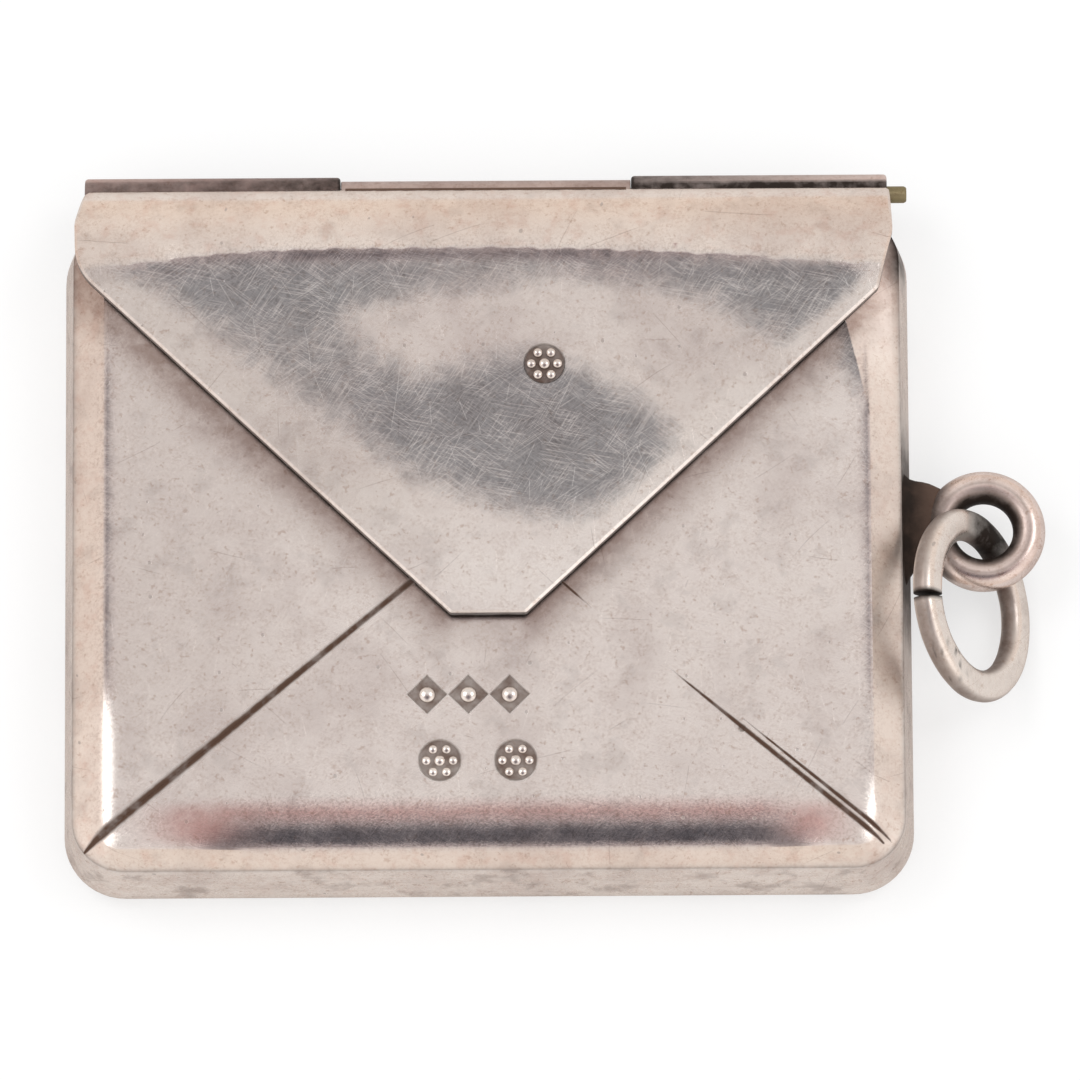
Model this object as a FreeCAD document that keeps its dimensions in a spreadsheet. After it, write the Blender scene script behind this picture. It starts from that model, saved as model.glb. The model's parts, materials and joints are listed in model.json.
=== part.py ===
"""Silver stamp case in the shape of a closed envelope, lying on its back.

X runs along the hinge, Y from the lower edge up to the hinge, Z out of the front face.
The origin is the centre of the flat back. All lengths are millimetres, all angles degrees.
"""
import FreeCAD, Part
import math
import os
import Sketcher

Vector = FreeCAD.Vector
Constraint = Sketcher.Constraint

ORIGIN_GEOMETRY = -1
START, END, CENTRE = 1, 2, 3
MATCH_SHARE = 0.01

SIZES = {
    # case
    "case_width": 30.0,
    "case_height": 24.7,
    "corner_radius": 2.3,
    "sheet_gauge": 0.45,
    "wall_lean": 8.0,
    "seam_level": 3.4,
    "front_rise": 0.75,
    "back_edge_radius": 0.9,
    "front_edge_radius": 0.8,
    "inner_round_share": 0.8,
    # mouth under the flap
    "mouth_side_inset": 3.0,
    "mouth_drop": 2.0,
    "scoop_depth": 5.0,
    # crease lines of the front
    "crease_width": 0.28,
    "crease_depth": 0.12,
    "crease_angle": 40.3,
    "crease_length": 17.4,
    "crease_side_inset": 0.45,
    "crease_foot_inset": 0.72,
    # flap
    "flap_side_inset": 0.5,
    "flap_gap": 0.1,
    "flap_reach": 15.3,
    "shoulder_drop": 3.01,
    "nose_width": 2.64,
    "roll_radius": 2.0,
    "roll_setback": 1.4,
    "shoulder_radius_left": 2.4,
    "shoulder_radius_right": 0.7,
    "flap_bevel": 0.16,
    # hinge
    "hinge_drop": 0.3,
    "hinge_side_inset": 0.85,
    "middle_length": 10.1,
    "knuckle_radius": 0.72,
    "knuckle_clearance": 0.06,
    "knuckle_end_gap": 0.08,
    "flap_edge_clearance": 0.05,
    "pin_radius": 0.3,
    "pin_play": 0.03,
    "pin_proud": 0.7,
    "pin_recess": 0.2,
    "pin_end_radius": 0.12,
    "solder_height": 0.9,
    "solder_depth": 0.36,
    "web_start": 96.0,
    "web_end": 126.0,
    # suspension loop
    "loop_radius": 1.6,
    "loop_wire_radius": 0.57,
    "loop_standoff": 2.41,
    "loop_offset": 0.45,
    "loop_level": 2.4,
    "foot_root": 1.35,
    "foot_root_width": 2.3,
    "foot_wall_width": 3.2,
    "foot_thickness": 0.9,
    # jump ring
    "ring_radius": 2.87,
    "ring_band": 1.12,
    "ring_depth": 0.84,
    "ring_corner": 0.36,
    "ring_split": 5.0,
    "ring_split_turn": 186.5,
    "ring_tilt": 56.0,
    "ring_roll": 1.5,
    "ring_shift_across": -0.48,
    "ring_shift_along": -2.83,
    "ring_level": 3.0,
    # all cuts run past the solid by this much
    "overrun": 2.0,
}

WALL_RUN = "tan(sizes.wall_lean)"
WALL_GAUGE = "sizes.sheet_gauge / cos(sizes.wall_lean)"
TOP_EDGE = "sizes.case_height / 2"
FLAP_UNDER = "(sizes.seam_level + sizes.front_rise + sizes.flap_gap)"
FLAP_TOP = "(sizes.seam_level + sizes.front_rise + sizes.flap_gap + sizes.sheet_gauge)"
ROLL_Y = "(sizes.case_height / 2 - sizes.roll_setback)"
ROLL_Z = f"({FLAP_TOP} - sizes.roll_radius)"
HINGE_Z = f"({ROLL_Z} - sizes.hinge_drop)"
HINGE_Y = (
    f"(sizes.case_height / 2 - {WALL_RUN} * {HINGE_Z}"
    " + (sizes.knuckle_radius + sizes.knuckle_clearance) / cos(sizes.wall_lean))"
)
HINGE_LENGTH = "(sizes.case_width - 2 * sizes.hinge_side_inset)"
FLAP_WIDTH = "(sizes.case_width - 2 * sizes.flap_side_inset)"
NOSE_Y = "(sizes.case_height / 2 - sizes.flap_reach)"
SHOULDER_Y = "(sizes.case_height / 2 - sizes.shoulder_drop)"
FLAP_SLOPE = f"((sizes.flap_reach - sizes.shoulder_drop) / (({FLAP_WIDTH} - sizes.nose_width) / 2))"
LOOP_X = "(sizes.case_width / 2 + sizes.loop_standoff)"

doc = FreeCAD.newDocument("stamp_case")
sizes = doc.addObject("Spreadsheet::Sheet", "sizes")
for row, (alias, value) in enumerate(SIZES.items(), start=1):
    sizes.set(f"A{row}", alias)
    sizes.set(f"B{row}", str(value))
    sizes.setAlias(f"B{row}", alias)
doc.recompute()


def number(expression):
    """Present value of an expression in the sheet's words."""
    return float(sizes.evalExpression(str(expression)))


def new_body(label, place=("0", "0", "0")):
    """A body whose origin follows three expressions."""
    body = doc.addObject("PartDesign::Body", label)
    body.Label = label
    for axis, expression in zip("xyz", place):
        body.setExpression(f"Placement.Base.{axis}", expression)
    doc.recompute()
    return body


def new_sketch(body, name, role, lift="0"):
    """An empty sketch on one of the body's origin planes, lifted off it by an expression."""
    sketch = body.newObject("Sketcher::SketchObject", name)
    plane = [feature for feature in body.Origin.OriginFeatures if feature.Role == role][0]
    sketch.AttachmentSupport = [(plane, "")]
    sketch.MapMode = "FlatFace"
    sketch.setExpression(".AttachmentOffset.Base.z", lift)
    return sketch


def bind(sketch, constraint, expression):
    """Add a dimension and tie it to the sheet."""
    index = sketch.addConstraint(constraint)
    sketch.setExpression(f"Constraints[{index}]", str(expression))


def pin_point(sketch, geometry, position, corner):
    """Hold a point at two expressions measured from the sketch origin."""
    for kind, expression in zip(("DistanceX", "DistanceY"), corner):
        value = number(expression)
        bind(sketch, Constraint(kind, ORIGIN_GEOMETRY, START, geometry, position, value), expression)


def outline(sketch, corners, arcs=None):
    """Closed outline through the corners. arcs maps a side to its centre, radius and turning sense."""
    arcs = arcs or {}
    points = [Vector(number(x), number(y), 0) for x, y in corners]
    sides = []
    for side, (near, far) in enumerate(zip(points, points[1:] + points[:1])):
        if side in arcs:
            centre_words, radius_words, turns_left = arcs[side]
            centre = Vector(number(centre_words[0]), number(centre_words[1]), 0)
            circle = Part.Circle(centre, Vector(0, 0, 1), number(radius_words))
            first, last = (near, far) if turns_left else (far, near)
            angles = [math.atan2(p.y - centre.y, p.x - centre.x) for p in (first, last)]
            index = sketch.addGeometry(Part.ArcOfCircle(circle, angles[0], angles[1]))
            sides.append((index, START if turns_left else END, END if turns_left else START))
        else:
            index = sketch.addGeometry(Part.LineSegment(near, far))
            sides.append((index, START, END))
    for this, following in zip(sides, sides[1:] + sides[:1]):
        sketch.addConstraint(Constraint("Coincident", this[0], this[2], following[0], following[1]))
    for (geometry, begin, _), corner in zip(sides, corners):
        pin_point(sketch, geometry, begin, corner)
    for side, (_, radius_words, _) in arcs.items():
        bind(sketch, Constraint("Radius", sides[side][0], number(radius_words)), radius_words)
    return sides


def rounded_rectangle(sketch, width, height, radius):
    """Rectangle about the sketch origin with four round corners."""
    x, y = f"({width}) / 2", f"({height}) / 2"
    r = f"({radius})"
    corners = [
        (f"-{x} + {r}", f"-{y}"), (f"{x} - {r}", f"-{y}"),
        (f"{x}", f"-{y} + {r}"), (f"{x}", f"{y} - {r}"),
        (f"{x} - {r}", f"{y}"), (f"-{x} + {r}", f"{y}"),
        (f"-{x}", f"{y} - {r}"), (f"-{x}", f"-{y} + {r}"),
    ]
    arcs = {
        1: ((f"{x} - {r}", f"-{y} + {r}"), radius, True),
        3: ((f"{x} - {r}", f"{y} - {r}"), radius, True),
        5: ((f"-{x} + {r}", f"{y} - {r}"), radius, True),
        7: ((f"-{x} + {r}", f"-{y} + {r}"), radius, True),
    }
    return outline(sketch, corners, arcs)


def circle_about(sketch, centre, radius):
    """Full circle held by its centre and radius."""
    middle = Vector(number(centre[0]), number(centre[1]), 0)
    index = sketch.addGeometry(Part.Circle(middle, Vector(0, 0, 1), number(radius)))
    pin_point(sketch, index, CENTRE, centre)
    bind(sketch, Constraint("Radius", index, number(radius)), radius)


def feature(body, kind, name, sketch, **expressions):
    """Pad, Pocket or Revolution of a sketch, its sizes tied to the sheet."""
    made = body.newObject(f"PartDesign::{kind}", name)
    made.Profile = sketch
    sketch.Visibility = False
    for target, expression in expressions.items():
        made.setExpression(target, expression)
    return made


def removes_metal(before, pocket):
    """Recompute and make sure that a cut has really cut."""
    doc.recompute()
    if pocket.Shape.Volume >= before.Shape.Volume:
        raise RuntimeError(f"{pocket.Name} cut nothing")


def edges_where(shape, test):
    """Names of the edges that pass a test."""
    return [f"Edge{i}" for i, edge in enumerate(shape.Edges, start=1) if test(edge)]


def lies_at(level):
    """Test for an edge that lies flat at a level."""
    height = number(level)

    def test(edge):
        box = edge.BoundBox
        return max(abs(box.ZMin - height), abs(box.ZMax - height)) < number("sizes.flap_bevel") * MATCH_SHARE

    return test


def round_edges(body, name, base, edges, radius):
    """Fillet of named edges with a radius from the sheet."""
    fillet = body.newObject("PartDesign::Fillet", name)
    fillet.Base = (base, edges)
    fillet.setExpression("Radius", radius)
    doc.recompute()
    return fillet


def inset_outline(sketch, level, inset):
    """The case outline at a level, drawn in by the lean of the wall and by an inset."""
    draw_in = f"({WALL_RUN} * {level} + {inset})"
    rounded_rectangle(
        sketch,
        f"sizes.case_width - 2 * {draw_in}",
        f"sizes.case_height - 2 * {draw_in}",
        f"sizes.corner_radius - {draw_in}",
    )


# Back pan: a pressed tray with a rounded back edge and walls that lean in towards the seam
def make_back_pan():
    pan = new_body("back_pan")
    base = new_sketch(pan, "pan_outline", "XY_Plane")
    inset_outline(base, "0", "0")
    block = feature(pan, "Pad", "pan_block", base, Length="sizes.seam_level", TaperAngle="-sizes.wall_lean")
    doc.recompute()
    rounded = round_edges(pan, "pan_back_edge", block, edges_where(block.Shape, lies_at("0")),
                          "sizes.back_edge_radius")
    floor = new_sketch(pan, "pan_floor", "XY_Plane", "sizes.sheet_gauge")
    inset_outline(floor, "sizes.sheet_gauge", WALL_GAUGE)
    hollow = feature(pan, "Pocket", "pan_hollow", floor, Length="sizes.seam_level",
                     TaperAngle="-sizes.wall_lean")
    hollow.Reversed = True
    removes_metal(rounded, hollow)
    round_edges(pan, "pan_inner_edge", hollow, edges_where(hollow.Shape, lies_at("sizes.sheet_gauge")),
                "sizes.back_edge_radius - sizes.sheet_gauge")
    return pan


# Front panel: a shallow pressed cover with a cut-away mouth along the hinge side
def make_front_panel():
    panel = new_body("front_panel", ("0", "0", "sizes.seam_level"))
    rise = "sizes.front_rise"
    depth = "(sizes.front_rise - sizes.sheet_gauge)"
    base = new_sketch(panel, "panel_outline", "XY_Plane")
    inset_outline(base, "sizes.seam_level", "0")
    block = feature(panel, "Pad", "panel_block", base, Length=rise, TaperAngle="-sizes.wall_lean")
    doc.recompute()
    rounded = round_edges(panel, "panel_front_edge", block, edges_where(block.Shape, lies_at(rise)),
                          "sizes.front_edge_radius")
    under = new_sketch(panel, "panel_under", "XY_Plane")
    inset_outline(under, "sizes.seam_level", WALL_GAUGE)
    hollow = feature(panel, "Pocket", "panel_hollow", under, Length=depth, TaperAngle="-sizes.wall_lean")
    hollow.Reversed = True
    removes_metal(rounded, hollow)
    inner = round_edges(panel, "panel_inner_edge", hollow, edges_where(hollow.Shape, lies_at(depth)),
                        f"sizes.inner_round_share * {depth}")
    mouth = new_sketch(panel, "panel_mouth", "XY_Plane")
    half = "(sizes.case_width / 2 - sizes.mouth_side_inset)"
    lip = f"({TOP_EDGE} - sizes.mouth_drop)"
    arc_radius = f"({half}^2 + sizes.scoop_depth^2) / (2 * sizes.scoop_depth)"
    past = f"{TOP_EDGE} + sizes.overrun"
    outline(
        mouth,
        [(f"-{half}", lip), (half, lip), (half, past), (f"-{half}", past)],
        {0: (("0", f"{lip} - sizes.scoop_depth + {arc_radius}"), arc_radius, True)},
    )
    opened = feature(panel, "Pocket", "panel_mouth_cut", mouth, Length=f"{rise} + sizes.overrun")
    opened.Reversed = True
    removes_metal(inner, opened)
    creases = new_sketch(panel, "panel_creases", "XY_Plane", rise)
    for side in ("-", ""):
        draw_crease(creases, side)
    cut = feature(panel, "Pocket", "panel_crease_cut", creases, Length="sizes.crease_depth")
    removes_metal(opened, cut)
    return panel


def draw_crease(sketch, side):
    """One engraved line from a lower corner up to the nose of the flap."""
    turn = "sizes.crease_angle"
    start_x = "(sizes.case_width / 2 - sizes.crease_side_inset)"
    start_y = "(-sizes.case_height / 2 + sizes.crease_foot_inset)"
    along = {"x": f"(sizes.crease_length * cos({turn}))", "y": f"(sizes.crease_length * sin({turn}))"}
    across = {"x": f"(sizes.crease_width / 2 * sin({turn}))", "y": f"(sizes.crease_width / 2 * cos({turn}))"}
    corners = [
        (f"{start_x} + {across['x']}", f"{start_y} + {across['y']}"),
        (f"{start_x} - {across['x']}", f"{start_y} - {across['y']}"),
        (f"{start_x} - {along['x']} - {across['x']}", f"{start_y} + {along['y']} - {across['y']}"),
        (f"{start_x} - {along['x']} + {across['x']}", f"{start_y} + {along['y']} + {across['y']}"),
    ]
    outline(sketch, [(f"{side}({x})", y) for x, y in corners])


# Flap: a bent sheet, flat on the front, rolled over the top edge down to the hinge tube
def make_flap():
    flap = new_body("flap")
    section = new_sketch(flap, "flap_section", "YZ_Plane")
    inner_radius = "(sizes.roll_radius - sizes.sheet_gauge)"
    centre = (ROLL_Y, ROLL_Z)
    outline(
        section,
        [
            (NOSE_Y, FLAP_UNDER),
            (ROLL_Y, FLAP_UNDER),
            (f"{ROLL_Y} + {inner_radius}", ROLL_Z),
            (f"{ROLL_Y} + sizes.roll_radius", ROLL_Z),
            (ROLL_Y, FLAP_TOP),
            (NOSE_Y, FLAP_TOP),
        ],
        {1: (centre, inner_radius, False), 3: (centre, "sizes.roll_radius", True)},
    )
    sheet = feature(flap, "Pad", "flap_sheet", section, Length=FLAP_WIDTH)
    sheet.Midplane = True
    doc.recompute()
    plan = new_sketch(flap, "flap_plan", "XY_Plane")
    for side in ("-", ""):
        low_x = "(sizes.nose_width / 2 - sizes.overrun)"
        low_y = f"({NOSE_Y} - sizes.overrun * {FLAP_SLOPE})"
        high_x = f"({FLAP_WIDTH} / 2 + sizes.overrun)"
        high_y = f"({SHOULDER_Y} + sizes.overrun * {FLAP_SLOPE})"
        outline(plan, [(f"{side}{low_x}", low_y), (f"{side}{high_x}", low_y), (f"{side}{high_x}", high_y)])
    trimmed = feature(flap, "Pocket", "flap_trim", plan, Length=f"{FLAP_TOP} + sizes.overrun")
    trimmed.Reversed = True
    removes_metal(sheet, trimmed)
    hinge_room = new_sketch(flap, "flap_hinge_room", "YZ_Plane")
    circle_about(hinge_room, (HINGE_Y, HINGE_Z), "sizes.knuckle_radius + sizes.flap_edge_clearance")
    cleared = feature(flap, "Pocket", "flap_hinge_cut", hinge_room, Length=f"{FLAP_WIDTH} + sizes.overrun")
    cleared.Midplane = True
    removes_metal(trimmed, cleared)
    base = cleared
    for side, word in ((-1, "left"), (1, "right")):
        base = round_edges(flap, f"flap_shoulder_{word}", base, edges_where(base.Shape, shoulder_edge(side)),
                           f"sizes.shoulder_radius_{word}")
    bevel = flap.newObject("PartDesign::Chamfer", "flap_edge_bevel")
    bevel.Base = (base, edges_where(base.Shape, flap_rim))
    bevel.setExpression("Size", "sizes.flap_bevel")
    doc.recompute()
    return flap


def shoulder_edge(side):
    """Test for the upright edge where a side of the flap meets its sloping edge."""
    x, y = side * number(FLAP_WIDTH) / 2, number(SHOULDER_Y)

    def test(edge):
        box = edge.BoundBox
        ends = (box.XMin - x, box.XMax - x, box.YMin - y, box.YMax - y)
        return max(abs(end) for end in ends) < number("sizes.flap_bevel") * MATCH_SHARE

    return test


def flap_rim(edge):
    """Edges of the flat top of the flap, without the line where the roll begins."""
    starts_roll = min(vertex.Y for vertex in edge.Vertexes) > number(ROLL_Y) - number("sizes.flap_gap")
    return lies_at(FLAP_TOP)(edge) and not starts_roll


# Hinge tubes: each is drawn about the pin, with its solder on the side that holds it
def make_tube(label, begin, length, bore):
    tube = new_body(label, (begin, HINGE_Y, HINGE_Z))
    section = new_sketch(tube, f"{label}_section", "YZ_Plane")
    circle_about(section, ("0", "0"), "sizes.knuckle_radius")
    circle_about(section, ("0", "0"), bore)
    feature(tube, "Pad", f"{label}_tube", section, Length=length)
    doc.recompute()
    return tube


def make_outer_knuckle(word, begin):
    label = f"hinge_knuckle_{word}"
    length = f"({HINGE_LENGTH} - sizes.middle_length) / 2 - sizes.knuckle_end_gap"
    tube = make_tube(label, begin, length, "sizes.pin_radius")
    seat = "(sizes.knuckle_radius + sizes.knuckle_clearance) / cos(sizes.wall_lean)"
    half = "sizes.solder_height / 2"
    solder = new_sketch(tube, f"{label}_solder", "YZ_Plane")
    outline(
        solder,
        [
            (f"-{seat} + {WALL_RUN} * {half}", f"-{half}"),
            ("-sizes.solder_depth", f"-{half}"),
            ("-sizes.solder_depth", half),
            (f"-{seat} - {WALL_RUN} * {half}", half),
        ],
    )
    feature(tube, "Pad", f"{label}_foot", solder, Length=length)
    doc.recompute()
    return tube


def make_flap_knuckle():
    label = "flap_knuckle"
    length = "sizes.middle_length"
    tube = make_tube(label, "-sizes.middle_length / 2", length, "sizes.pin_radius + sizes.pin_play")
    reach = "(sizes.knuckle_radius + sizes.flap_edge_clearance)"
    root = "((sizes.knuckle_radius + sizes.pin_radius + sizes.pin_play) / 2)"
    web = new_sketch(tube, f"{label}_web", "YZ_Plane")
    first, last = "sizes.web_start", "sizes.web_end"
    outline(
        web,
        [
            (f"{reach} * cos({first})", f"{reach} * sin({first})"),
            (f"{reach} * cos({last})", f"{reach} * sin({last})"),
            (f"{root} * cos({last})", f"{root} * sin({last})"),
            (f"{root} * cos({first})", f"{root} * sin({first})"),
        ],
        {0: (("0", "0"), reach, True), 2: (("0", "0"), root, False)},
    )
    feature(tube, "Pad", f"{label}_solder", web, Length=length)
    doc.recompute()
    return tube


# Hinge pin: one wire through all three tubes, proud at the right
def make_hinge_pin():
    begin = f"-{HINGE_LENGTH} / 2 + sizes.pin_recess"
    length = f"{HINGE_LENGTH} - sizes.pin_recess + sizes.pin_proud"
    pin = new_body("hinge_pin", (begin, HINGE_Y, HINGE_Z))
    section = new_sketch(pin, "pin_section", "YZ_Plane")
    circle_about(section, ("0", "0"), "sizes.pin_radius")
    wire = feature(pin, "Pad", "pin_wire", section, Length=length)
    doc.recompute()
    free_end = wire.Shape.BoundBox.XMax
    rim = edges_where(wire.Shape, lambda edge: edge.BoundBox.XMin > free_end - number("sizes.pin_radius"))
    round_edges(pin, "pin_end", wire, rim, "sizes.pin_end_radius")
    return pin


# Suspension loop: a closed wire eye with a solder foot cut to the lean of the side wall
def make_suspension_loop():
    loop = new_body("suspension_loop", (LOOP_X, "sizes.loop_offset", "sizes.loop_level"))
    wall_x = f"(-sizes.loop_standoff - {WALL_RUN} * sizes.loop_level)"
    past = f"({wall_x} - sizes.overrun)"
    root_half, wall_half = "sizes.foot_root_width / 2", "sizes.foot_wall_width / 2"
    plan = new_sketch(loop, "loop_foot_plan", "XY_Plane")
    outline(
        plan,
        [
            ("-sizes.foot_root", f"-{root_half}"),
            ("-sizes.foot_root", root_half),
            (wall_x, wall_half),
            (past, wall_half),
            (past, f"-{wall_half}"),
            (wall_x, f"-{wall_half}"),
        ],
    )
    foot = feature(loop, "Pad", "loop_foot", plan, Length="sizes.foot_thickness")
    foot.Midplane = True
    doc.recompute()
    wall = new_sketch(loop, "loop_wall_line", "XZ_Plane")
    tall = "(sizes.foot_thickness + sizes.overrun)"
    far = f"({past} - sizes.overrun)"
    outline(
        wall,
        [
            (f"{wall_x} + {WALL_RUN} * {tall}", f"-{tall}"),
            (f"{wall_x} - {WALL_RUN} * {tall}", tall),
            (far, tall),
            (far, f"-{tall}"),
        ],
    )
    seated = feature(loop, "Pocket", "loop_wall_cut", wall, Length="sizes.foot_wall_width + sizes.overrun")
    seated.Midplane = True
    removes_metal(foot, seated)
    wire = new_sketch(loop, "loop_wire_section", "XZ_Plane")
    circle_about(wire, ("sizes.loop_radius", "0"), "sizes.loop_wire_radius")
    turn_about_z(loop, "loop_eye", wire)
    return loop


def turn_about_z(body, name, sketch, angle="360"):
    """Revolution of a sketch about the body's own Z axis."""
    turned = feature(body, "Revolution", name, sketch, Angle=angle)
    turned.ReferenceAxis = (sketch, ["V_Axis"])
    doc.recompute()
    return turned


# Jump ring: a split ring of soft-cornered wire, leaning through the loop
def make_jump_ring():
    ring = new_body("jump_ring", (
        f"{LOOP_X} + sizes.ring_shift_across",
        "sizes.loop_offset + sizes.ring_shift_along",
        "sizes.ring_level",
    ))
    section = new_sketch(ring, "ring_section", "XZ_Plane")
    rounded_band(section)
    turn_about_z(ring, "ring_band", section, "360 - sizes.ring_split")
    roll = FreeCAD.Rotation(Vector(0, 0, 1), number("sizes.ring_roll"))
    tilt = FreeCAD.Rotation(Vector(0, 1, 0), number("sizes.ring_tilt"))
    split_turn = FreeCAD.Rotation(Vector(0, 0, 1), number("sizes.ring_split_turn"))
    ring.Placement.Rotation = roll.multiply(tilt).multiply(split_turn)
    doc.recompute()
    return ring


def rounded_band(sketch):
    """Wire section: a rectangle with round corners at the ring's mean radius."""
    x, z = "sizes.ring_band / 2", "sizes.ring_depth / 2"
    r, mid = "sizes.ring_corner", "sizes.ring_radius"
    corners = [
        (f"{mid} - {x} + {r}", f"-{z}"), (f"{mid} + {x} - {r}", f"-{z}"),
        (f"{mid} + {x}", f"-{z} + {r}"), (f"{mid} + {x}", f"{z} - {r}"),
        (f"{mid} + {x} - {r}", z), (f"{mid} - {x} + {r}", z),
        (f"{mid} - {x}", f"{z} - {r}"), (f"{mid} - {x}", f"-{z} + {r}"),
    ]
    arcs = {
        1: ((f"{mid} + {x} - {r}", f"-{z} + {r}"), r, True),
        3: ((f"{mid} + {x} - {r}", f"{z} - {r}"), r, True),
        5: ((f"{mid} - {x} + {r}", f"{z} - {r}"), r, True),
        7: ((f"{mid} - {x} + {r}", f"-{z} + {r}"), r, True),
    }
    outline(sketch, corners, arcs)


left_begin = f"-{HINGE_LENGTH} / 2"
right_begin = "sizes.middle_length / 2 + sizes.knuckle_end_gap"
sub_parts = [
    make_back_pan(),
    make_front_panel(),
    make_flap(),
    make_outer_knuckle("left", left_begin),
    make_outer_knuckle("right", right_begin),
    make_flap_knuckle(),
    make_hinge_pin(),
    make_suspension_loop(),
    make_jump_ring(),
]

doc.recompute()
failed = [made.Name for made in doc.Objects if {"Invalid", "Error"} & set(made.State)]
if failed:
    raise RuntimeError("failed objects: " + ", ".join(failed))
for sub_part in sub_parts:
    if sub_part.Shape.isNull() or not sub_part.Shape.isValid():
        raise RuntimeError("bad shape: " + sub_part.Label)

os.makedirs("parts", exist_ok=True)
for sub_part in sub_parts:
    sub_part.Shape.exportStep(f"parts/{sub_part.Label}.step")
    box = sub_part.Shape.BoundBox
    print(f"{sub_part.Label}: {len(sub_part.Shape.Solids)} solid, {sub_part.Shape.Volume:.2f} mm3,"
          f" x {box.XMin:.2f} to {box.XMax:.2f}, y {box.YMin:.2f} to {box.YMax:.2f},"
          f" z {box.ZMin:.2f} to {box.ZMax:.2f}")
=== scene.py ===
# %% [markdown]
# # A silver stamp case shaped like a sealed envelope
# The case is about 30 mm wide and lies on its back. A pan and a crowned front are soldered into a flat box,
# a pointed flap turns on a three-tube hinge, and a split ring hangs in a loop at the right.
# The packed solids are the fixed frame. Everything that shows is remade around them with finer sheet metal.

# %% Load the frame
import json
import math
import bpy
import numpy as np
from mathutils import Matrix, Vector, kdtree
from mathutils.geometry import delaunay_2d_cdt


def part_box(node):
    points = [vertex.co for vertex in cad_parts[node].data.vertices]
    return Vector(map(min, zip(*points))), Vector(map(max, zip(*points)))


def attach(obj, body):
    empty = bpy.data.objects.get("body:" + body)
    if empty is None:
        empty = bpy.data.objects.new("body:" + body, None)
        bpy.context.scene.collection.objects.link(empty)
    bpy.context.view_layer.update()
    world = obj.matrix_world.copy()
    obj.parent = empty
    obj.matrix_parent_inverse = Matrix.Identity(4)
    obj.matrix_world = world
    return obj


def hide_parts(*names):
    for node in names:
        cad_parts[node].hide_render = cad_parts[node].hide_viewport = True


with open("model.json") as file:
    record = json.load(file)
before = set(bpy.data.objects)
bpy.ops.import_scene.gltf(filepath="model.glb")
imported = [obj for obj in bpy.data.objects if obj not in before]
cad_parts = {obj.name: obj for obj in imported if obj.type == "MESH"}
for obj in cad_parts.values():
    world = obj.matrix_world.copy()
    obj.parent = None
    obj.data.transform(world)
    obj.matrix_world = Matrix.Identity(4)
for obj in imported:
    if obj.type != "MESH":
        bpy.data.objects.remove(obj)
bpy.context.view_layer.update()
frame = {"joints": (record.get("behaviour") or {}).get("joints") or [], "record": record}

MM = 0.001


def box_mm(node):
    """Lowest and highest corner of a solid, in millimetres."""
    low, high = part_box(node)
    return np.array(low) / MM, np.array(high) / MM


def joint_place(name):
    """A joint's place in millimetres."""
    found = [joint for joint in frame["joints"] if joint["name"] == name][0]
    return np.array(found["pos_m"]) / MM


pan_low, pan_high = box_mm("back_pan")
panel_high = box_mm("front_panel")[1]
flap_low, flap_high = box_mm("flap")
hinge_place = joint_place("flap_hinge")
loop_place = joint_place("ring_swing")
print("case", pan_high - pan_low, "hinge at", hinge_place, "loop at", loop_place)

# %% [markdown]
# ## Camera
# The photograph looks almost straight down, tipped 15 degrees towards the lower edge, with a long lens.
# Width of view and aim were measured against the case, and a slight roll matches the way it lies.
# The camera's axes are worked out as three vectors, which is clearer than three angles when a view also rolls.

# %% Camera
VIEW_TILT = math.radians(15)
VIEW_ROLL = math.radians(0.35)
VIEW_DISTANCE = 480.0
VIEW_WIDTH = 38.07
AIM_RIGHT, AIM_UP = 1.833, 0.878
SENSOR = 36.0

stage = bpy.context.scene
level_right = Vector((1, 0, 0))
level_up = Vector((0, math.cos(VIEW_TILT), math.sin(VIEW_TILT)))
view_back = level_right.cross(level_up)
view_right = level_right * math.cos(VIEW_ROLL) - level_up * math.sin(VIEW_ROLL)
view_up = view_back.cross(view_right)
camera_data = bpy.data.cameras.new("camera")
camera_data.sensor_width = SENSOR
camera_data.lens = SENSOR * VIEW_DISTANCE / VIEW_WIDTH
camera = bpy.data.objects.new("camera", camera_data)
aim = view_right * AIM_RIGHT + view_up * AIM_UP
place = (aim + view_back * VIEW_DISTANCE) * MM
camera.matrix_world = Matrix.Translation(place) @ Matrix((view_right, view_up, view_back)).transposed().to_4x4()
stage.collection.objects.link(camera)
stage.camera = camera
stage.view_settings.view_transform = "Standard"
print("lens", round(camera_data.lens, 1), "mm")

# %% [markdown]
# ## Node helper
# Materials, the world and the Geometry Nodes trees are all built with the same few calls:
# add a node, set its values, and link sockets. A number stays a default value and a socket becomes a link.

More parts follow.
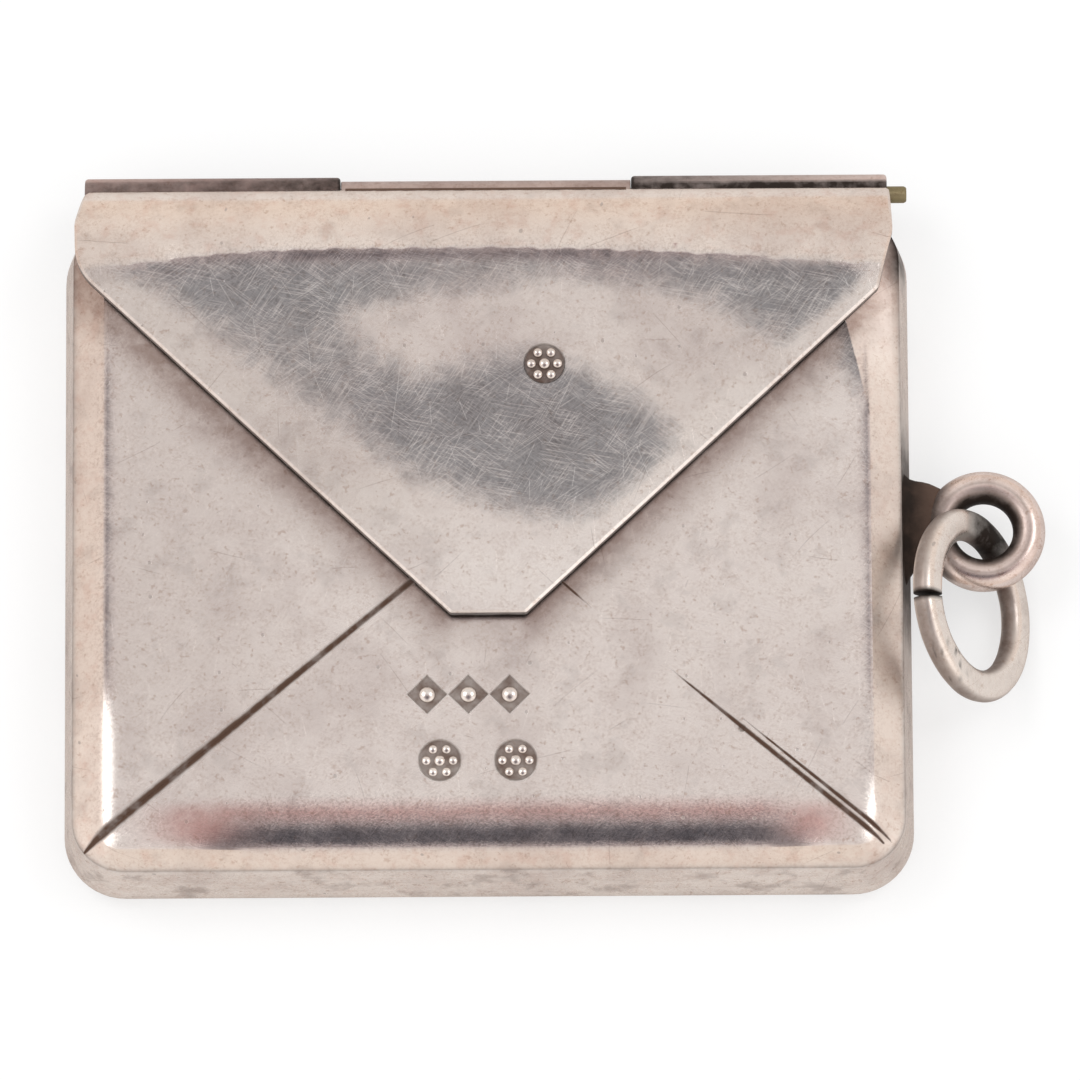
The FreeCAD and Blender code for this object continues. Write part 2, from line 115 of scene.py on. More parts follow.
# %% Node helper
class Graph:
    """Builds one node tree. Arguments may be numbers, tuples or sockets."""

    def __init__(self, tree):
        self.tree = tree

    def put(self, socket, value):
        if isinstance(value, bpy.types.NodeSocket):
            self.tree.links.new(value, socket)
        elif value is not None:
            socket.default_value = value

    def add(self, kind, settings=None, **values):
        node = self.tree.nodes.new(kind)
        for key, value in (settings or {}).items():
            setattr(node, key, value)
        for key, value in values.items():
            self.put(node.inputs[key.replace("_", " ")], value)
        return node

    def math(self, operation, first, second=None, third=None, clamp=False):
        node = self.add("ShaderNodeMath", {"operation": operation, "use_clamp": clamp})
        for socket, value in zip(node.inputs, (first, second, third)):
            self.put(socket, value)
        return node.outputs[0]

    def times(self, first, second, clamp=False):
        return self.math("MULTIPLY", first, second, clamp=clamp)

    def plus(self, first, second):
        return self.math("ADD", first, second)

    def most(self, first, second):
        return self.math("MAXIMUM", first, second)

    def vector(self, operation, first, second=None, scale=None):
        node = self.add("ShaderNodeVectorMath", {"operation": operation})
        self.put(node.inputs[0], first)
        if second is not None:
            self.put(node.inputs[1], second)
        if scale is not None:
            self.put(node.inputs["Scale"], scale)
        return node.outputs["Value" if operation in ("DOT_PRODUCT", "LENGTH") else "Vector"]

    def split(self, vector):
        return self.add("ShaderNodeSeparateXYZ", Vector=vector).outputs

    def turn(self, vector, angle):
        return self.add("ShaderNodeVectorRotate", {"rotation_type": "Z_AXIS"}, Vector=vector,
                        Angle=angle).outputs[0]

    def noise(self, where, scale, detail, rough=0.5, output="Fac", space="3D"):
        return self.add("ShaderNodeTexNoise", {"noise_dimensions": space}, Vector=where, Scale=scale,
                        Detail=detail, Roughness=rough).outputs[output]

    def pattern(self, tree, **values):
        return self.add("ShaderNodeGroup", {"node_tree": tree}, **values).outputs["Mask"]

    def blend(self, share, first, second, way="MIX"):
        node = self.add("ShaderNodeMix", {"data_type": "RGBA", "blend_type": way})
        self.put(node.inputs["Factor"], share)
        self.put(node.inputs[6], first)
        self.put(node.inputs[7], second)
        return node.outputs[2]

    def stain(self, colour, share, tint):
        return self.blend(share, colour, self.blend(1.0, colour, tint, "MULTIPLY"))

    def ramp(self, value, low, high, to_low=0.0, to_high=1.0):
        node = self.add("ShaderNodeMapRange", {"interpolation_type": "SMOOTHSTEP"})
        for key, number in (("Value", value), ("From Min", low), ("From Max", high),
                            ("To Min", to_low), ("To Max", to_high)):
            self.put(node.inputs[key], number)
        return node.outputs["Result"]


def grey(level):
    """A neutral colour."""
    return (level, level, level, 1.0)


print("node calls", [name for name in vars(Graph) if not name.startswith("_")])

# %% [markdown]
# ## Floor
# The case lies on a pale sheet of paper. One large disc is enough for it. The paper has to be white to the camera,
# cream in the silver, and still take the object's shadow, so its material asks Light Path what kind of ray it is.

# %% Floor
FLOOR_RADIUS = 1.6
FLOOR_SIDES = 96
FLOOR_LEVEL = -0.00002
PAPER_BASE, PAPER_IN_SILVER, PAPER_SEEN = grey(0.90), (0.50, 0.465, 0.445, 1), grey(0.42)
GLOW_IN_SILVER, GLOW_SEEN = 0.34, 0.58

floor_mesh = bpy.data.meshes.new("floor")
floor_mesh.from_pydata([(FLOOR_RADIUS * math.cos(k * math.tau / FLOOR_SIDES),
                         FLOOR_RADIUS * math.sin(k * math.tau / FLOOR_SIDES), FLOOR_LEVEL)
                        for k in range(FLOOR_SIDES)], [], [list(range(FLOOR_SIDES))])
floor = bpy.data.objects.new("floor", floor_mesh)
stage.collection.objects.link(floor)
floor_paint = bpy.data.materials.new("floor_paper")
floor_paint.use_nodes = True
paper = Graph(floor_paint.node_tree)
paper_shader = floor_paint.node_tree.nodes["Principled BSDF"].inputs
ray = paper.add("ShaderNodeLightPath").outputs
tone = paper.blend(ray["Is Glossy Ray"], PAPER_BASE, PAPER_IN_SILVER)
paper.put(paper_shader["Base Color"], paper.blend(ray["Is Camera Ray"], tone, PAPER_SEEN))
glow = paper.times(ray["Is Glossy Ray"], GLOW_IN_SILVER)
glow = paper.math("MULTIPLY_ADD", ray["Is Camera Ray"], GLOW_SEEN, glow)
paper.put(paper_shader["Emission Strength"], glow)
for label, value in (("Emission Color", grey(1.0)), ("Roughness", 0.9), ("Specular IOR Level", 0.1)):
    paper_shader[label].default_value = value
floor_mesh.materials.append(floor_paint)
print("floor", 2 * FLOOR_RADIUS, "m across")

# %% [markdown]
# ## Light tent
# Polished silver shows what stands around it, so the tent matters more than the lamps. It is cream cloth.
# The opening for the camera is a soft dark patch overhead, and the bends of the case pick it up as dark bands,
# while the flat faces see its edge and stay light. The world can draw all of this from the direction alone.

# %% Light tent
OPENING = (0.0, -math.sin(VIEW_TILT), math.cos(VIEW_TILT))
RIM_ANGLES, HOLE_ANGLES = (32, 18), (21, 11)
CLOTH_LOW, CLOTH_HIGH, CLOTH_SIDE = (0.90, 0.79, 0.71, 1), (0.87, 0.82, 0.79, 1), (0.90, 0.80, 0.74, 1)
RIM_SHADE, HOLE_SHADE = (0.54, 0.405, 0.405, 1), (0.10, 0.09, 0.105, 1)
PLAIN_LEVEL = 0.86

world = bpy.data.worlds.new("light_tent")
world.use_nodes = True
stage.world = world
world.node_tree.nodes.clear()
tent = Graph(world.node_tree)
facing = tent.vector("NORMALIZE", tent.add("ShaderNodeTexCoord").outputs["Generated"])
towards_opening = tent.vector("DOT_PRODUCT", facing, OPENING)
way = tent.split(facing)
cloth = tent.blend(tent.ramp(way["Z"], 0.25, 0.9), CLOTH_LOW, CLOTH_HIGH)
cloth = tent.blend(tent.ramp(tent.math("ABSOLUTE", way["X"]), 0.3, 0.75), cloth, CLOTH_SIDE)
rim, hole = (tent.ramp(towards_opening, *(math.cos(math.radians(angle)) for angle in pair))
             for pair in (RIM_ANGLES, HOLE_ANGLES))
seen_round = tent.blend(hole, tent.blend(rim, cloth, RIM_SHADE), HOLE_SHADE)
ray = tent.add("ShaderNodeLightPath").outputs
seen_round = tent.blend(ray["Is Glossy Ray"], grey(PLAIN_LEVEL), seen_round)
seen_round = tent.blend(ray["Is Camera Ray"], seen_round, grey(1.0))
tent_light = tent.add("ShaderNodeBackground", Color=seen_round, Strength=1.0)
tent.add("ShaderNodeOutputWorld", Surface=tent_light.outputs[0])
print("tent with", len(world.node_tree.nodes), "nodes")

# %% [markdown]
# ## Lamps
# A photographer adds lamps beside the tent, so that bevels and rounds catch a light. Four square area lamps do
# it here. Two stand high, and the two low ones are wide and weak, because a small low lamp burns out in the walls.
# The camera doesn't see them. Each is aimed by turning its own Z axis away from the case.

# %% Lamps
LAMPS = {  # direction, distance in metres, size in metres, power in watts
    "key": ((-0.48, 0.22, 0.85), 1.0, 0.40, 1.3), "fill": ((0.48, 0.20, 0.86), 1.1, 0.40, 1.1),
    "low_left": ((-0.68, -0.46, 0.57), 1.0, 0.90, 0.7), "low_right": ((0.68, -0.46, 0.57), 1.0, 0.90, 0.9)}

for name, (direction, distance, size, power) in LAMPS.items():
    data = bpy.data.lights.new(name, "AREA")
    data.size, data.energy = size, power
    lamp = bpy.data.objects.new(name, data)
    away = Vector(direction).normalized()
    lamp.matrix_world = Matrix.Translation(away * distance) @ away.to_track_quat("Z", "Y").to_matrix().to_4x4()
    lamp.visible_camera = False
    stage.collection.objects.link(lamp)
print("lamps", list(LAMPS))

# %% [markdown]
# ## Wear: hairlines
# Silver that was carried for years has short hairlines in every direction. Each kind of wear is a shader group
# that gives only a mask, so a material decides what the mask does to colour and shine.
# A hairline is drawn inside the cell of a Voronoi pattern: the cell's own random colour gives its direction.

# %% Hairlines
def new_group(name, *sizes):
    """A shader group with a vector input, number inputs and one mask as its output."""
    tree = bpy.data.node_groups.new(name, "ShaderNodeTree")
    tree.interface.new_socket("Vector", in_out="INPUT", socket_type="NodeSocketVector")
    for label in sizes:
        tree.interface.new_socket(label, in_out="INPUT", socket_type="NodeSocketFloat")
    tree.interface.new_socket("Mask", in_out="OUTPUT", socket_type="NodeSocketFloat")
    graph = Graph(tree)
    return graph, graph.add("NodeGroupInput").outputs, graph.add("NodeGroupOutput").inputs["Mask"]


def random_cells(graph, given):
    """The place inside the nearest Voronoi cell, and three random numbers of that cell."""
    cell = graph.add("ShaderNodeTexVoronoi", {"voronoi_dimensions": "2D"}, Vector=given["Vector"],
                     Scale=given["Density"], Randomness=1.0).outputs
    chance = graph.add("ShaderNodeSeparateColor", Color=cell["Color"]).outputs
    return graph.vector("SUBTRACT", given["Vector"], cell["Position"]), chance


def make_hairlines():
    """Short fine lines, one in each cell, turned at random and a little bent."""
    graph, given, mask = new_group("hairlines", "Density", "Width", "Reach")
    local, chance = random_cells(graph, given)
    along = graph.split(graph.turn(local, graph.times(chance[0], math.tau)))
    bend = graph.times(graph.times(along["X"], along["X"]),
                       graph.times(graph.math("SUBTRACT", chance[2], 0.5), 0.14))
    line = graph.ramp(graph.math("ABSOLUTE", graph.plus(along["Y"], bend)), 0.0, given["Width"], 1.0, 0.0)
    reach = graph.times(given["Reach"], chance[1])
    ends = graph.ramp(graph.math("ABSOLUTE", along["X"]), graph.times(reach, 0.5), reach, 1.0, 0.0)
    graph.put(mask, graph.times(line, ends))
    return graph.tree


HAIRLINES = make_hairlines()
print(HAIRLINES.name, "with", len(HAIRLINES.nodes), "nodes")

# %% [markdown]
# ## Wear: pits
# Small round pits come from knocks and old corrosion. The same cells hold them, but only a share of the cells
# has one. Real dents in the mesh would take far more points than such small spots are worth.

# %% Pits
def make_pits():
    """Small round pits in a few of the cells."""
    graph, given, mask = new_group("pits", "Density", "Radius", "Share")
    local, chance = random_cells(graph, given)
    size = graph.times(given["Radius"], graph.plus(chance[1], 0.4))
    spot = graph.ramp(graph.vector("LENGTH", local), graph.times(size, 0.5), size, 1.0, 0.0)
    graph.put(mask, graph.times(spot, graph.math("LESS_THAN", chance[0], given["Share"])))
    return graph.tree


PITS = make_pits()
print(PITS.name, "with", len(PITS.nodes), "nodes")

# %% [markdown]
# ## Wear: rubbing marks
# A polishing cloth leaves dense fine marks that run one way. Noise that is stretched along one direction
# gives them, and a second, slow noise leaves gaps between the rubbed places.

# %% Rubbing marks
def make_strokes():
    """Dense fine rubbing marks that all run one way, stronger in some places than in others."""
    graph, given, mask = new_group("strokes", "Turn", "Fineness", "Seed")
    along = graph.split(graph.turn(given["Vector"], given["Turn"]))
    drawn = graph.add("ShaderNodeCombineXYZ", X=graph.plus(graph.times(along["X"], 0.6), given["Seed"]),
                      Y=graph.times(along["Y"], given["Fineness"])).outputs[0]
    moved = graph.vector("ADD", given["Vector"], graph.add("ShaderNodeCombineXYZ", X=given["Seed"]).outputs[0])
    lines = graph.ramp(graph.noise(drawn, 1.0, 1.0, space="2D"), 0.48, 0.78)
    places = graph.ramp(graph.noise(moved, 0.7, 1.0, space="2D"), 0.28, 0.64)
    graph.put(mask, graph.times(lines, places))
    return graph.tree


STROKES = make_strokes()
print(STROKES.name, "with", len(STROKES.nodes), "nodes")

# %% [markdown]
# ## What a silver surface carries
# Every piece brings its own masks as point attributes, because wear and painted light follow the shape.
# In the order of MASKS they are: brown tarnish in cuts; a warm tint on the rolled edges; painted shadow and shade,
# with grime under the flap; metal rubbed to a mirror and painted dark as the reflection of the opening, with more
# painted dark reflection and shade on the front; near-black for soot and for painted shade in corners and holes;
# a pink tint, which on the front paints a rosy reflection; paler metal with a painted glint on the bevel; and a
# fine grain along the folds. Noise and the wear groups break all of them up.
# They could be drawn as image textures, but attributes stay sharp at any size and need no unwrapping.

# %% Surface patterns
MASKS = ("groove", "band", "shade", "polish", "soot", "rose", "bare", "grit")
RUBBING = ((36, 24.0, 3.1), (-34, 27.0, 17.7), (-58, 25.0, 41.3), (11, 23.0, 8.9))  # degrees, fineness, seed
FINE_LINES, LONG_LINES = (1.3, 0.016, 0.9, 31.7), (0.5, 0.018, 2.2, 67.1)  # density, width, reach, shift
PIT_DENSITY, PIT_RADIUS = 0.75, 0.07
SHEAR_X, SHEAR_Y = 0.35, 0.8  # how far the flat patterns lean on upright walls


class Surface:
    """The masks, noises and wear patterns that one silver material reads, as sockets."""

    def __init__(self, graph, pitted):
        self.graph = graph
        self.mm = graph.vector("SCALE", graph.add("ShaderNodeTexCoord").outputs["Object"], scale=1 / MM)
        part = graph.split(self.mm)
        self.flat = graph.add("ShaderNodeCombineXYZ",
                              X=graph.math("MULTIPLY_ADD", part["Z"], SHEAR_X, part["X"]),
                              Y=graph.math("MULTIPLY_ADD", part["Z"], SHEAR_Y, part["Y"])).outputs[0]
        for key in MASKS:
            setattr(self, key, graph.add("ShaderNodeAttribute", {"attribute_name": key}).outputs["Fac"])
        wander = graph.noise(self.mm, 1.7, 4.0, 0.6, "Color")
        self.wander = graph.add("ShaderNodeSeparateColor", Color=wander).outputs
        self.grain = graph.noise(self.mm, 9.0, 4.0, 0.78)
        self.single = graph.most(self.lines(*FINE_LINES), self.lines(*LONG_LINES))
        first, second, third, fourth = (self.strokes(*stroke) for stroke in RUBBING)
        rubbed = graph.plus(graph.plus(first, second), graph.plus(third, fourth))
        self.rubbed = graph.times(rubbed, 0.62, clamp=True)
        self.dents = graph.pattern(PITS, Density=PIT_DENSITY, Radius=PIT_RADIUS, Share=pitted, Vector=self.flat)
        torn = graph.math("SUBTRACT", self.wander["Red"], 0.42)
        torn = graph.math("MULTIPLY_ADD", self.rubbed, -0.25, torn)
        patch = graph.ramp(graph.math("MULTIPLY_ADD", torn, 0.75, self.polish), 0.0, 1.05)
        self.patch = graph.times(patch, graph.ramp(self.polish, 0.0, 0.35))

    def lines(self, density, width, reach, shift):
        where = self.graph.vector("ADD", self.flat, (shift, shift * 0.37, 0))
        return self.graph.pattern(HAIRLINES, Density=density, Width=width, Reach=reach, Vector=where)

    def strokes(self, turn, fineness, seed):
        return self.graph.pattern(STROKES, Vector=self.flat, Turn=math.radians(turn), Fineness=fineness,
                                  Seed=seed)

    def broken(self, mask, channel, lift):
        """A mask that the slow noise breaks up."""
        return self.graph.times(mask, self.graph.plus(self.wander[channel], lift), clamp=True)


print("masks", MASKS)

# %% [markdown]
# ## Colour of worn silver
# The colour is built like the real layers: bare metal, then film and freckles, then the rubbed patches, painted
# darker as the reflection of the tent's opening in them, then painted shade and grime, hairlines, and last
# the dirt in the cuts.
# A stain multiplies what lies under it, so earlier layers still show through.
# First come the film, which grows in patches where silver lies unused, and the freckles in it.
# Smooth noise of several sizes gives both, and stretched noise gives the streaks of the drawing press.

# %% Film and freckles
SPECKLE, CLOUD, SMUDGE = (0.70, 0.61, 0.56, 1), (0.80, 0.77, 0.77, 1), (0.62, 0.60, 0.60, 1)
STREAK, STREAK_STRETCH = (0.42, 0.35, 0.32, 1), (0.35, 0.35, 5.0)


def film_and_freckles(on, colour, cloud, drawn, blotch):
    """Freckles, cloudy film, drawing streaks and smudges over the metal."""
    graph = on.graph
    uneven = graph.ramp(on.wander["Blue"], 0.36, 0.64, 0.15, 0.75)
    freckles = graph.most(graph.times(graph.ramp(on.grain, 0.40, 0.68), uneven),
                          graph.ramp(graph.noise(on.mm, 4.2, 3.0, 0.7), 0.57, 0.70))
    colour = graph.stain(colour, graph.times(freckles, cloud), SPECKLE)
    clouds = graph.ramp(graph.noise(on.mm, 0.33, 3.0, 0.55), 0.42, 0.72)
    colour = graph.stain(colour, graph.times(clouds, cloud), CLOUD)
    if drawn:
        streaks = graph.ramp(graph.noise(graph.vector("MULTIPLY", on.mm, STREAK_STRETCH), 1.0, 3.0), 0.42, 0.68)
        colour = graph.stain(colour, graph.times(streaks, drawn), STREAK)
    smudges = graph.ramp(graph.noise(on.mm, 0.8, 3.0, 0.6), 0.53, 0.70)
    return graph.stain(colour, graph.times(smudges, blotch), SMUDGE)


print("film tints", SPECKLE[:3], CLOUD[:3], SMUDGE[:3])

# %% [markdown]
# ## Colour: rubbing and lines
# Where thumbs rub, the film is gone and the metal is a clean mirror, painted grey as the reflection of the dark
# opening overhead.
# Hairlines are brighter than it, because each scratch catches some of the cloth, and deep scores hold dirt.
# The rubbed mask decides how far the lines show, so the same lines are nearly lost on the cloudy metal.

# %% Rubbing and lines
# The first tint paints the reflection of the dark opening in rubbed metal; the third paints shade as well as
# grime.
RUBBED_REFLECTION, FELT, SHADE_AND_GRIME = (0.40, 0.425, 0.46, 1), (0.52, 0.53, 0.56, 1), (0.46, 0.39, 0.37, 1)
ROSE, BRIGHT, SCORE = (0.80, 0.55, 0.53, 1), (0.95, 0.93, 0.91, 1), (0.42, 0.36, 0.34, 1)
DEEP_SCORES = (0.36, 0.022, 1.6, 11.9)  # density, width, reach, shift


def rubbing_and_lines(on, colour, hair):
    """Rubbed patches painted as reflection, painted shade with grime, bloom, bright hairlines and dark scores."""
    graph = on.graph
    # Painted reflection: rubbed patches go dark blue-grey.
    colour = graph.stain(colour, on.patch, RUBBED_REFLECTION)
    felt = graph.times(graph.most(on.patch, on.grit), graph.ramp(on.grain, 0.46, 0.62))
    colour = graph.stain(colour, graph.times(felt, 0.45), FELT)
    # Painted shade, and grime, wherever the shade mask lies.
    colour = graph.stain(colour, on.broken(on.shade, "Green", 0.45), SHADE_AND_GRIME)
    colour = graph.stain(colour, on.broken(on.rose, "Red", 0.5), ROSE)
    for lines, on_patch, elsewhere in ((on.rubbed, 0.34, 0.05), (on.single, 0.22, 0.06)):
        shown = graph.times(graph.math("MULTIPLY_ADD", on.patch, on_patch, elsewhere), hair)
        colour = graph.blend(graph.times(lines, shown), colour, BRIGHT)
    scores = graph.times(on.lines(*DEEP_SCORES), graph.times(on.wander["Blue"], 0.75 * hair))
    return graph.stain(colour, scores, SCORE)


print("rubbed tint", RUBBED_REFLECTION[:3], "bright lines", BRIGHT[:3])

# %% [markdown]
# ## Colour: from metal to dirt
# The layers are put together here. Warm bands, and paler places with painted glints, tint the metal itself.
# Tarnish, which fills the cuts, and the near-black of soot and painted shade go on last, because they cover
# everything else.

# %% Whole colour
SILVER, WARM = (0.83, 0.80, 0.77, 1), (0.88, 0.80, 0.735, 1)
PALE_AND_GLINT, PINK = (0.87, 0.845, 0.82, 1), (0.86, 0.72, 0.68, 1)
# The near-black serves for soot and for painted shade in corners and holes.
TARNISH, SOOT_AND_SHADE = (0.105, 0.060, 0.042, 1), (0.022, 0.015, 0.012, 1)


def silver_colour(on, base, hair, cloud, film, drawn, blotch):
    """The whole colour, and how far dirt and painted shade hide the metal."""
    graph = on.graph
    colour = graph.blend(graph.times(on.band, 0.85), base, WARM)
    colour = graph.blend(on.bare, colour, PALE_AND_GLINT)
    pink = graph.times(graph.ramp(on.wander["Red"], 0.48, 0.70), graph.times(on.band, 0.45))
    colour = film_and_freckles(on, graph.stain(colour, pink, PINK), cloud, drawn, blotch)
    colour = rubbing_and_lines(on, colour, hair)
    dirt = graph.most(on.broken(on.groove, "Blue", 0.5), graph.times(on.dents, 0.42))
    dirt = graph.most(dirt, film) if film else dirt
    colour = graph.blend(dirt, colour, TARNISH)
    # Near-black for soot and for painted shade.
    black = on.broken(on.soot, "Blue", 0.55)
    return graph.blend(black, colour, SOOT_AND_SHADE), graph.most(dirt, black)


print("silver", SILVER[:3], "tarnish", TARNISH[:3], "soot", SOOT_AND_SHADE[:3])

# %% [markdown]
# ## Shine of worn silver, and the finishes
# Dirt and painted shade are not metal, so they take the metallic share down and make the surface dull.
# Fine grain, hairlines and pits also go into a bump, because light catches on them. One recipe makes every finish
# of the case: the pan is duller, the flap is a shade darker, the solder has a brown film and the pin is dull
# brass.

# %% Silver finishes
SPECULAR_LEVEL, SPECULAR_TINT = 0.2, (0.80, 0.755, 0.725, 1)
BUMP_STRENGTH, BUMP_HEIGHT = 0.3, 0.00001


def silver_shine(on, shader, dirt, rough, hair, crisp):
    """Roughness, metallic share and bump."""
    graph = on.graph
    dull = graph.math("MULTIPLY_ADD", graph.math("SUBTRACT", on.wander["Green"], 0.5), 0.07, rough)
    for mask, change in ((on.patch, -0.05), (on.band, -crisp), (dirt, 0.28)):
        dull = graph.math("MULTIPLY_ADD", mask, change, dull)
    graph.put(shader["Roughness"], graph.most(dull, 0.08))
    graph.put(shader["Metallic"], graph.math("SUBTRACT", 1.0, dirt))
    relief = graph.math("MULTIPLY_ADD", graph.noise(on.mm, 13.0, 2.0, 0.7), graph.times(on.grit, 1.7),
                        graph.times(on.grain, 0.3))
    relief = graph.math("MULTIPLY_ADD", graph.most(on.rubbed, on.single), -0.35 * hair, relief)
    relief = graph.math("MULTIPLY_ADD", on.dents, -1.0, relief)
    bump = graph.add("ShaderNodeBump", Height=relief, Strength=BUMP_STRENGTH, Distance=BUMP_HEIGHT)
    graph.put(shader["Normal"], bump.outputs[0])


def worn_silver(name, base=SILVER, rough=0.25, hair=1.0, pitted=0.10, cloud=0.5, film=0.0, drawn=0.0,
                blotch=0.3, crisp=0.0):
    """One finished material: hair is for hairlines, drawn for streaks, crisp for smoother bands."""
    material = bpy.data.materials.new(name)
    material.use_nodes = True
    shader = material.node_tree.nodes["Principled BSDF"].inputs
    shader["Specular IOR Level"].default_value = SPECULAR_LEVEL
    shader["Specular Tint"].default_value = SPECULAR_TINT
    on = Surface(Graph(material.node_tree), pitted)
    colour, dirt = silver_colour(on, base, hair, cloud, film, drawn, blotch)
    on.graph.put(shader["Base Color"], colour)
    silver_shine(on, shader, dirt, rough, hair, crisp)
    return material


case_silver = worn_silver("worn_case", cloud=0.7, pitted=0.28, crisp=-0.12)
flap_silver = worn_silver("worn_flap", base=(0.755, 0.715, 0.685, 1), hair=1.1, cloud=0.7, pitted=0.28, crisp=0.08)
pan_silver = worn_silver("worn_pan", base=(0.86, 0.825, 0.795, 1), rough=0.27, cloud=0.9, drawn=0.10, blotch=0.75)
hinge_silver = worn_silver("worn_hinge", base=(0.80, 0.73, 0.69, 1), rough=0.3, cloud=0.9)
loop_silver = worn_silver("worn_loop", base=(0.82, 0.735, 0.69, 1), rough=0.27, hair=0.6, cloud=0.9, blotch=0.5)
ring_silver = worn_silver("worn_ring", base=(0.84, 0.785, 0.735, 1), rough=0.27, hair=0.7, pitted=0.3, cloud=0.6)
solder_dark = worn_silver("old_solder", base=(0.40, 0.31, 0.26, 1), rough=0.45, cloud=0.9, hair=0.3, film=0.9)
pin_brass = worn_silver("dull_brass", base=(0.31, 0.275, 0.155, 1), rough=0.33, cloud=0.9, hair=0.4)
print("finishes", [m.name for m in bpy.data.materials if m.use_nodes])

# %% [markdown]
# ## Handing a piece over
# A finished mesh gets smooth shading with sharp edges where the metal is cut, its material and its masks,
# and then rides on the body of the frame that it moves with.

# %% Pieces
def finish_piece(name, mesh, material, body, nodes=(), masks=None, sharp=40):
    """Smooths a mesh, gives it its material and masks, and hands it to the frame."""
    mesh.name = name
    mesh.shade_smooth()
    mesh.set_sharp_from_angle(angle=math.radians(sharp))
    mesh.materials.clear()
    mesh.materials.append(material)
    for key, values in (masks or {}).items():
        layer = mesh.attributes.new(key, "FLOAT", "POINT")
        layer.data.foreach_set("value", np.clip(values, 0, 1).astype(np.float32))
    obj = bpy.data.objects.new(name, mesh)
    stage.collection.objects.link(obj)
    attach(obj, body)
    if nodes:
        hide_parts(*nodes)
    print(name, len(mesh.vertices), "points")
    return obj


def piece(name, points, faces, material, body, nodes=(), masks=None, sharp=40):
    """Makes an object from millimetre points and hands it to the frame."""
    mesh = bpy.data.meshes.new(name)
    mesh.from_pydata((np.asarray(points) * MM).tolist(), [], [tuple(int(k) for k in f) for f in faces])
    return finish_piece(name, mesh, material, body, nodes, masks, sharp)


print("a piece can carry", len(MASKS), "masks")

# %% [markdown]
# ## Fades and humps
# Wear and height follow distances: from a rim, from a fold, from a corner. Two small curves serve for all of
# them, a straight fade and a soft hump. They work on all points of a mesh at once, which numpy does quickly.

# %% Fades and humps
def fade(value, none, full):
    """0 at none and before it, 1 at full and past it, a straight ramp between."""
    return np.clip((value - none) / (full - none), 0, 1)


def hump(value, middle, width, power=2):
    """A soft hump, 1 at its middle, with steeper flanks for a higher power."""
    return np.exp(-np.abs((value - middle) / width) ** power)


def most(*fields):
    """The largest of several masks at each point."""
    return np.maximum.reduce(np.broadcast_arrays(*fields))


print("fade half way", fade(0.5, 0, 1), "hump at its width", round(float(hump(1, 0, 1)), 3))

# %% [markdown]
# ## Lofting
# The pan, the solder and the pin are lofts: rings of points, one after the other, joined by quads. In the editor
# this would be Bridge Edge Loops. In a script it is simpler to number the faces, as long as all rings have
# the same number of points, and the rounded rectangle keeps its number whatever its size.

# %% Lofting
def box_loop(half, radius, across=84, up=68, turn=12):
    """Points anticlockwise round a rounded rectangle, as many for one size as for another."""
    found = []
    corners = [(1, -1, -90, up), (1, 1, 0, across), (-1, 1, 90, up), (-1, -1, 180, across)]
    for sx, sy, start, steps in corners:
        middle = np.array([sx * (half[0] - radius), sy * (half[1] - radius)])
        for k in range(turn + 1):
            angle = math.radians(start + 90 * k / turn)
            found.append(middle + radius * np.array([math.cos(angle), math.sin(angle)]))
        side = np.array([-math.sin(math.radians(start + 90)), math.cos(math.radians(start + 90))])
        length = 2 * ((half[1] if steps == up else half[0]) - radius)
        last = found[-1]
        found.extend(last + side * length * k / steps for k in range(1, steps))
    return np.array(found)


def loft(rings):
    """Points and quads between rings of equal count, with both ends filled."""
    count = len(rings[0])
    faces = []
    for low in range(0, (len(rings) - 1) * count, count):
        high = low + count
        faces += [(low + k, low + (k + 1) % count, high + (k + 1) % count, high + k) for k in range(count)]
    faces.append(tuple(reversed(range(count))))
    faces.append(tuple((len(rings) - 1) * count + k for k in range(count)))
    return np.vstack(rings), faces


print("a rounded rectangle has", len(box_loop((2, 2), 1)), "points")

# %% [markdown]
# ## Back pan
# The back of the case is one pressed pan with leaning walls and a soft lower edge. A bevelled box would round
# every edge alike, so the pan is lofted: out along the back, up the wall, over the lip and down the inside.
# The wall is painted blackest beside the loop, as shade where the loop and its solder stand against it,
# and brown along the seam and under the hinge.

# %% Back pan
WALL_LEAN = math.tan(math.radians(8))
GAUGE = 0.45
CORNER = 2.3
SEAM = pan_high[2]
SEAM_HALF = panel_high[:2]
BASE_HALF = SEAM_HALF + WALL_LEAN * SEAM
EDGE_ROUND = 0.9
EDGE_OFFSET = 1.0353
LIP_ROUND = 0.07
BACK_RINGS = (6.0, 1.6)
RIGHT_WALL = 13


def pan_ring(offset, z):
    """One rounded rectangle of the pan, moved in by an offset."""
    loop = box_loop(BASE_HALF - offset, max(0.4, CORNER - offset))
    return np.column_stack([loop, np.full(len(loop), z)])


def edge_arc(radius, start, stop, steps):
    """Offsets and levels round the lower edge."""
    angles = np.radians(np.linspace(start, stop, steps))
    return [(EDGE_OFFSET - radius * math.cos(a), EDGE_ROUND + radius * math.sin(a)) for a in angles]


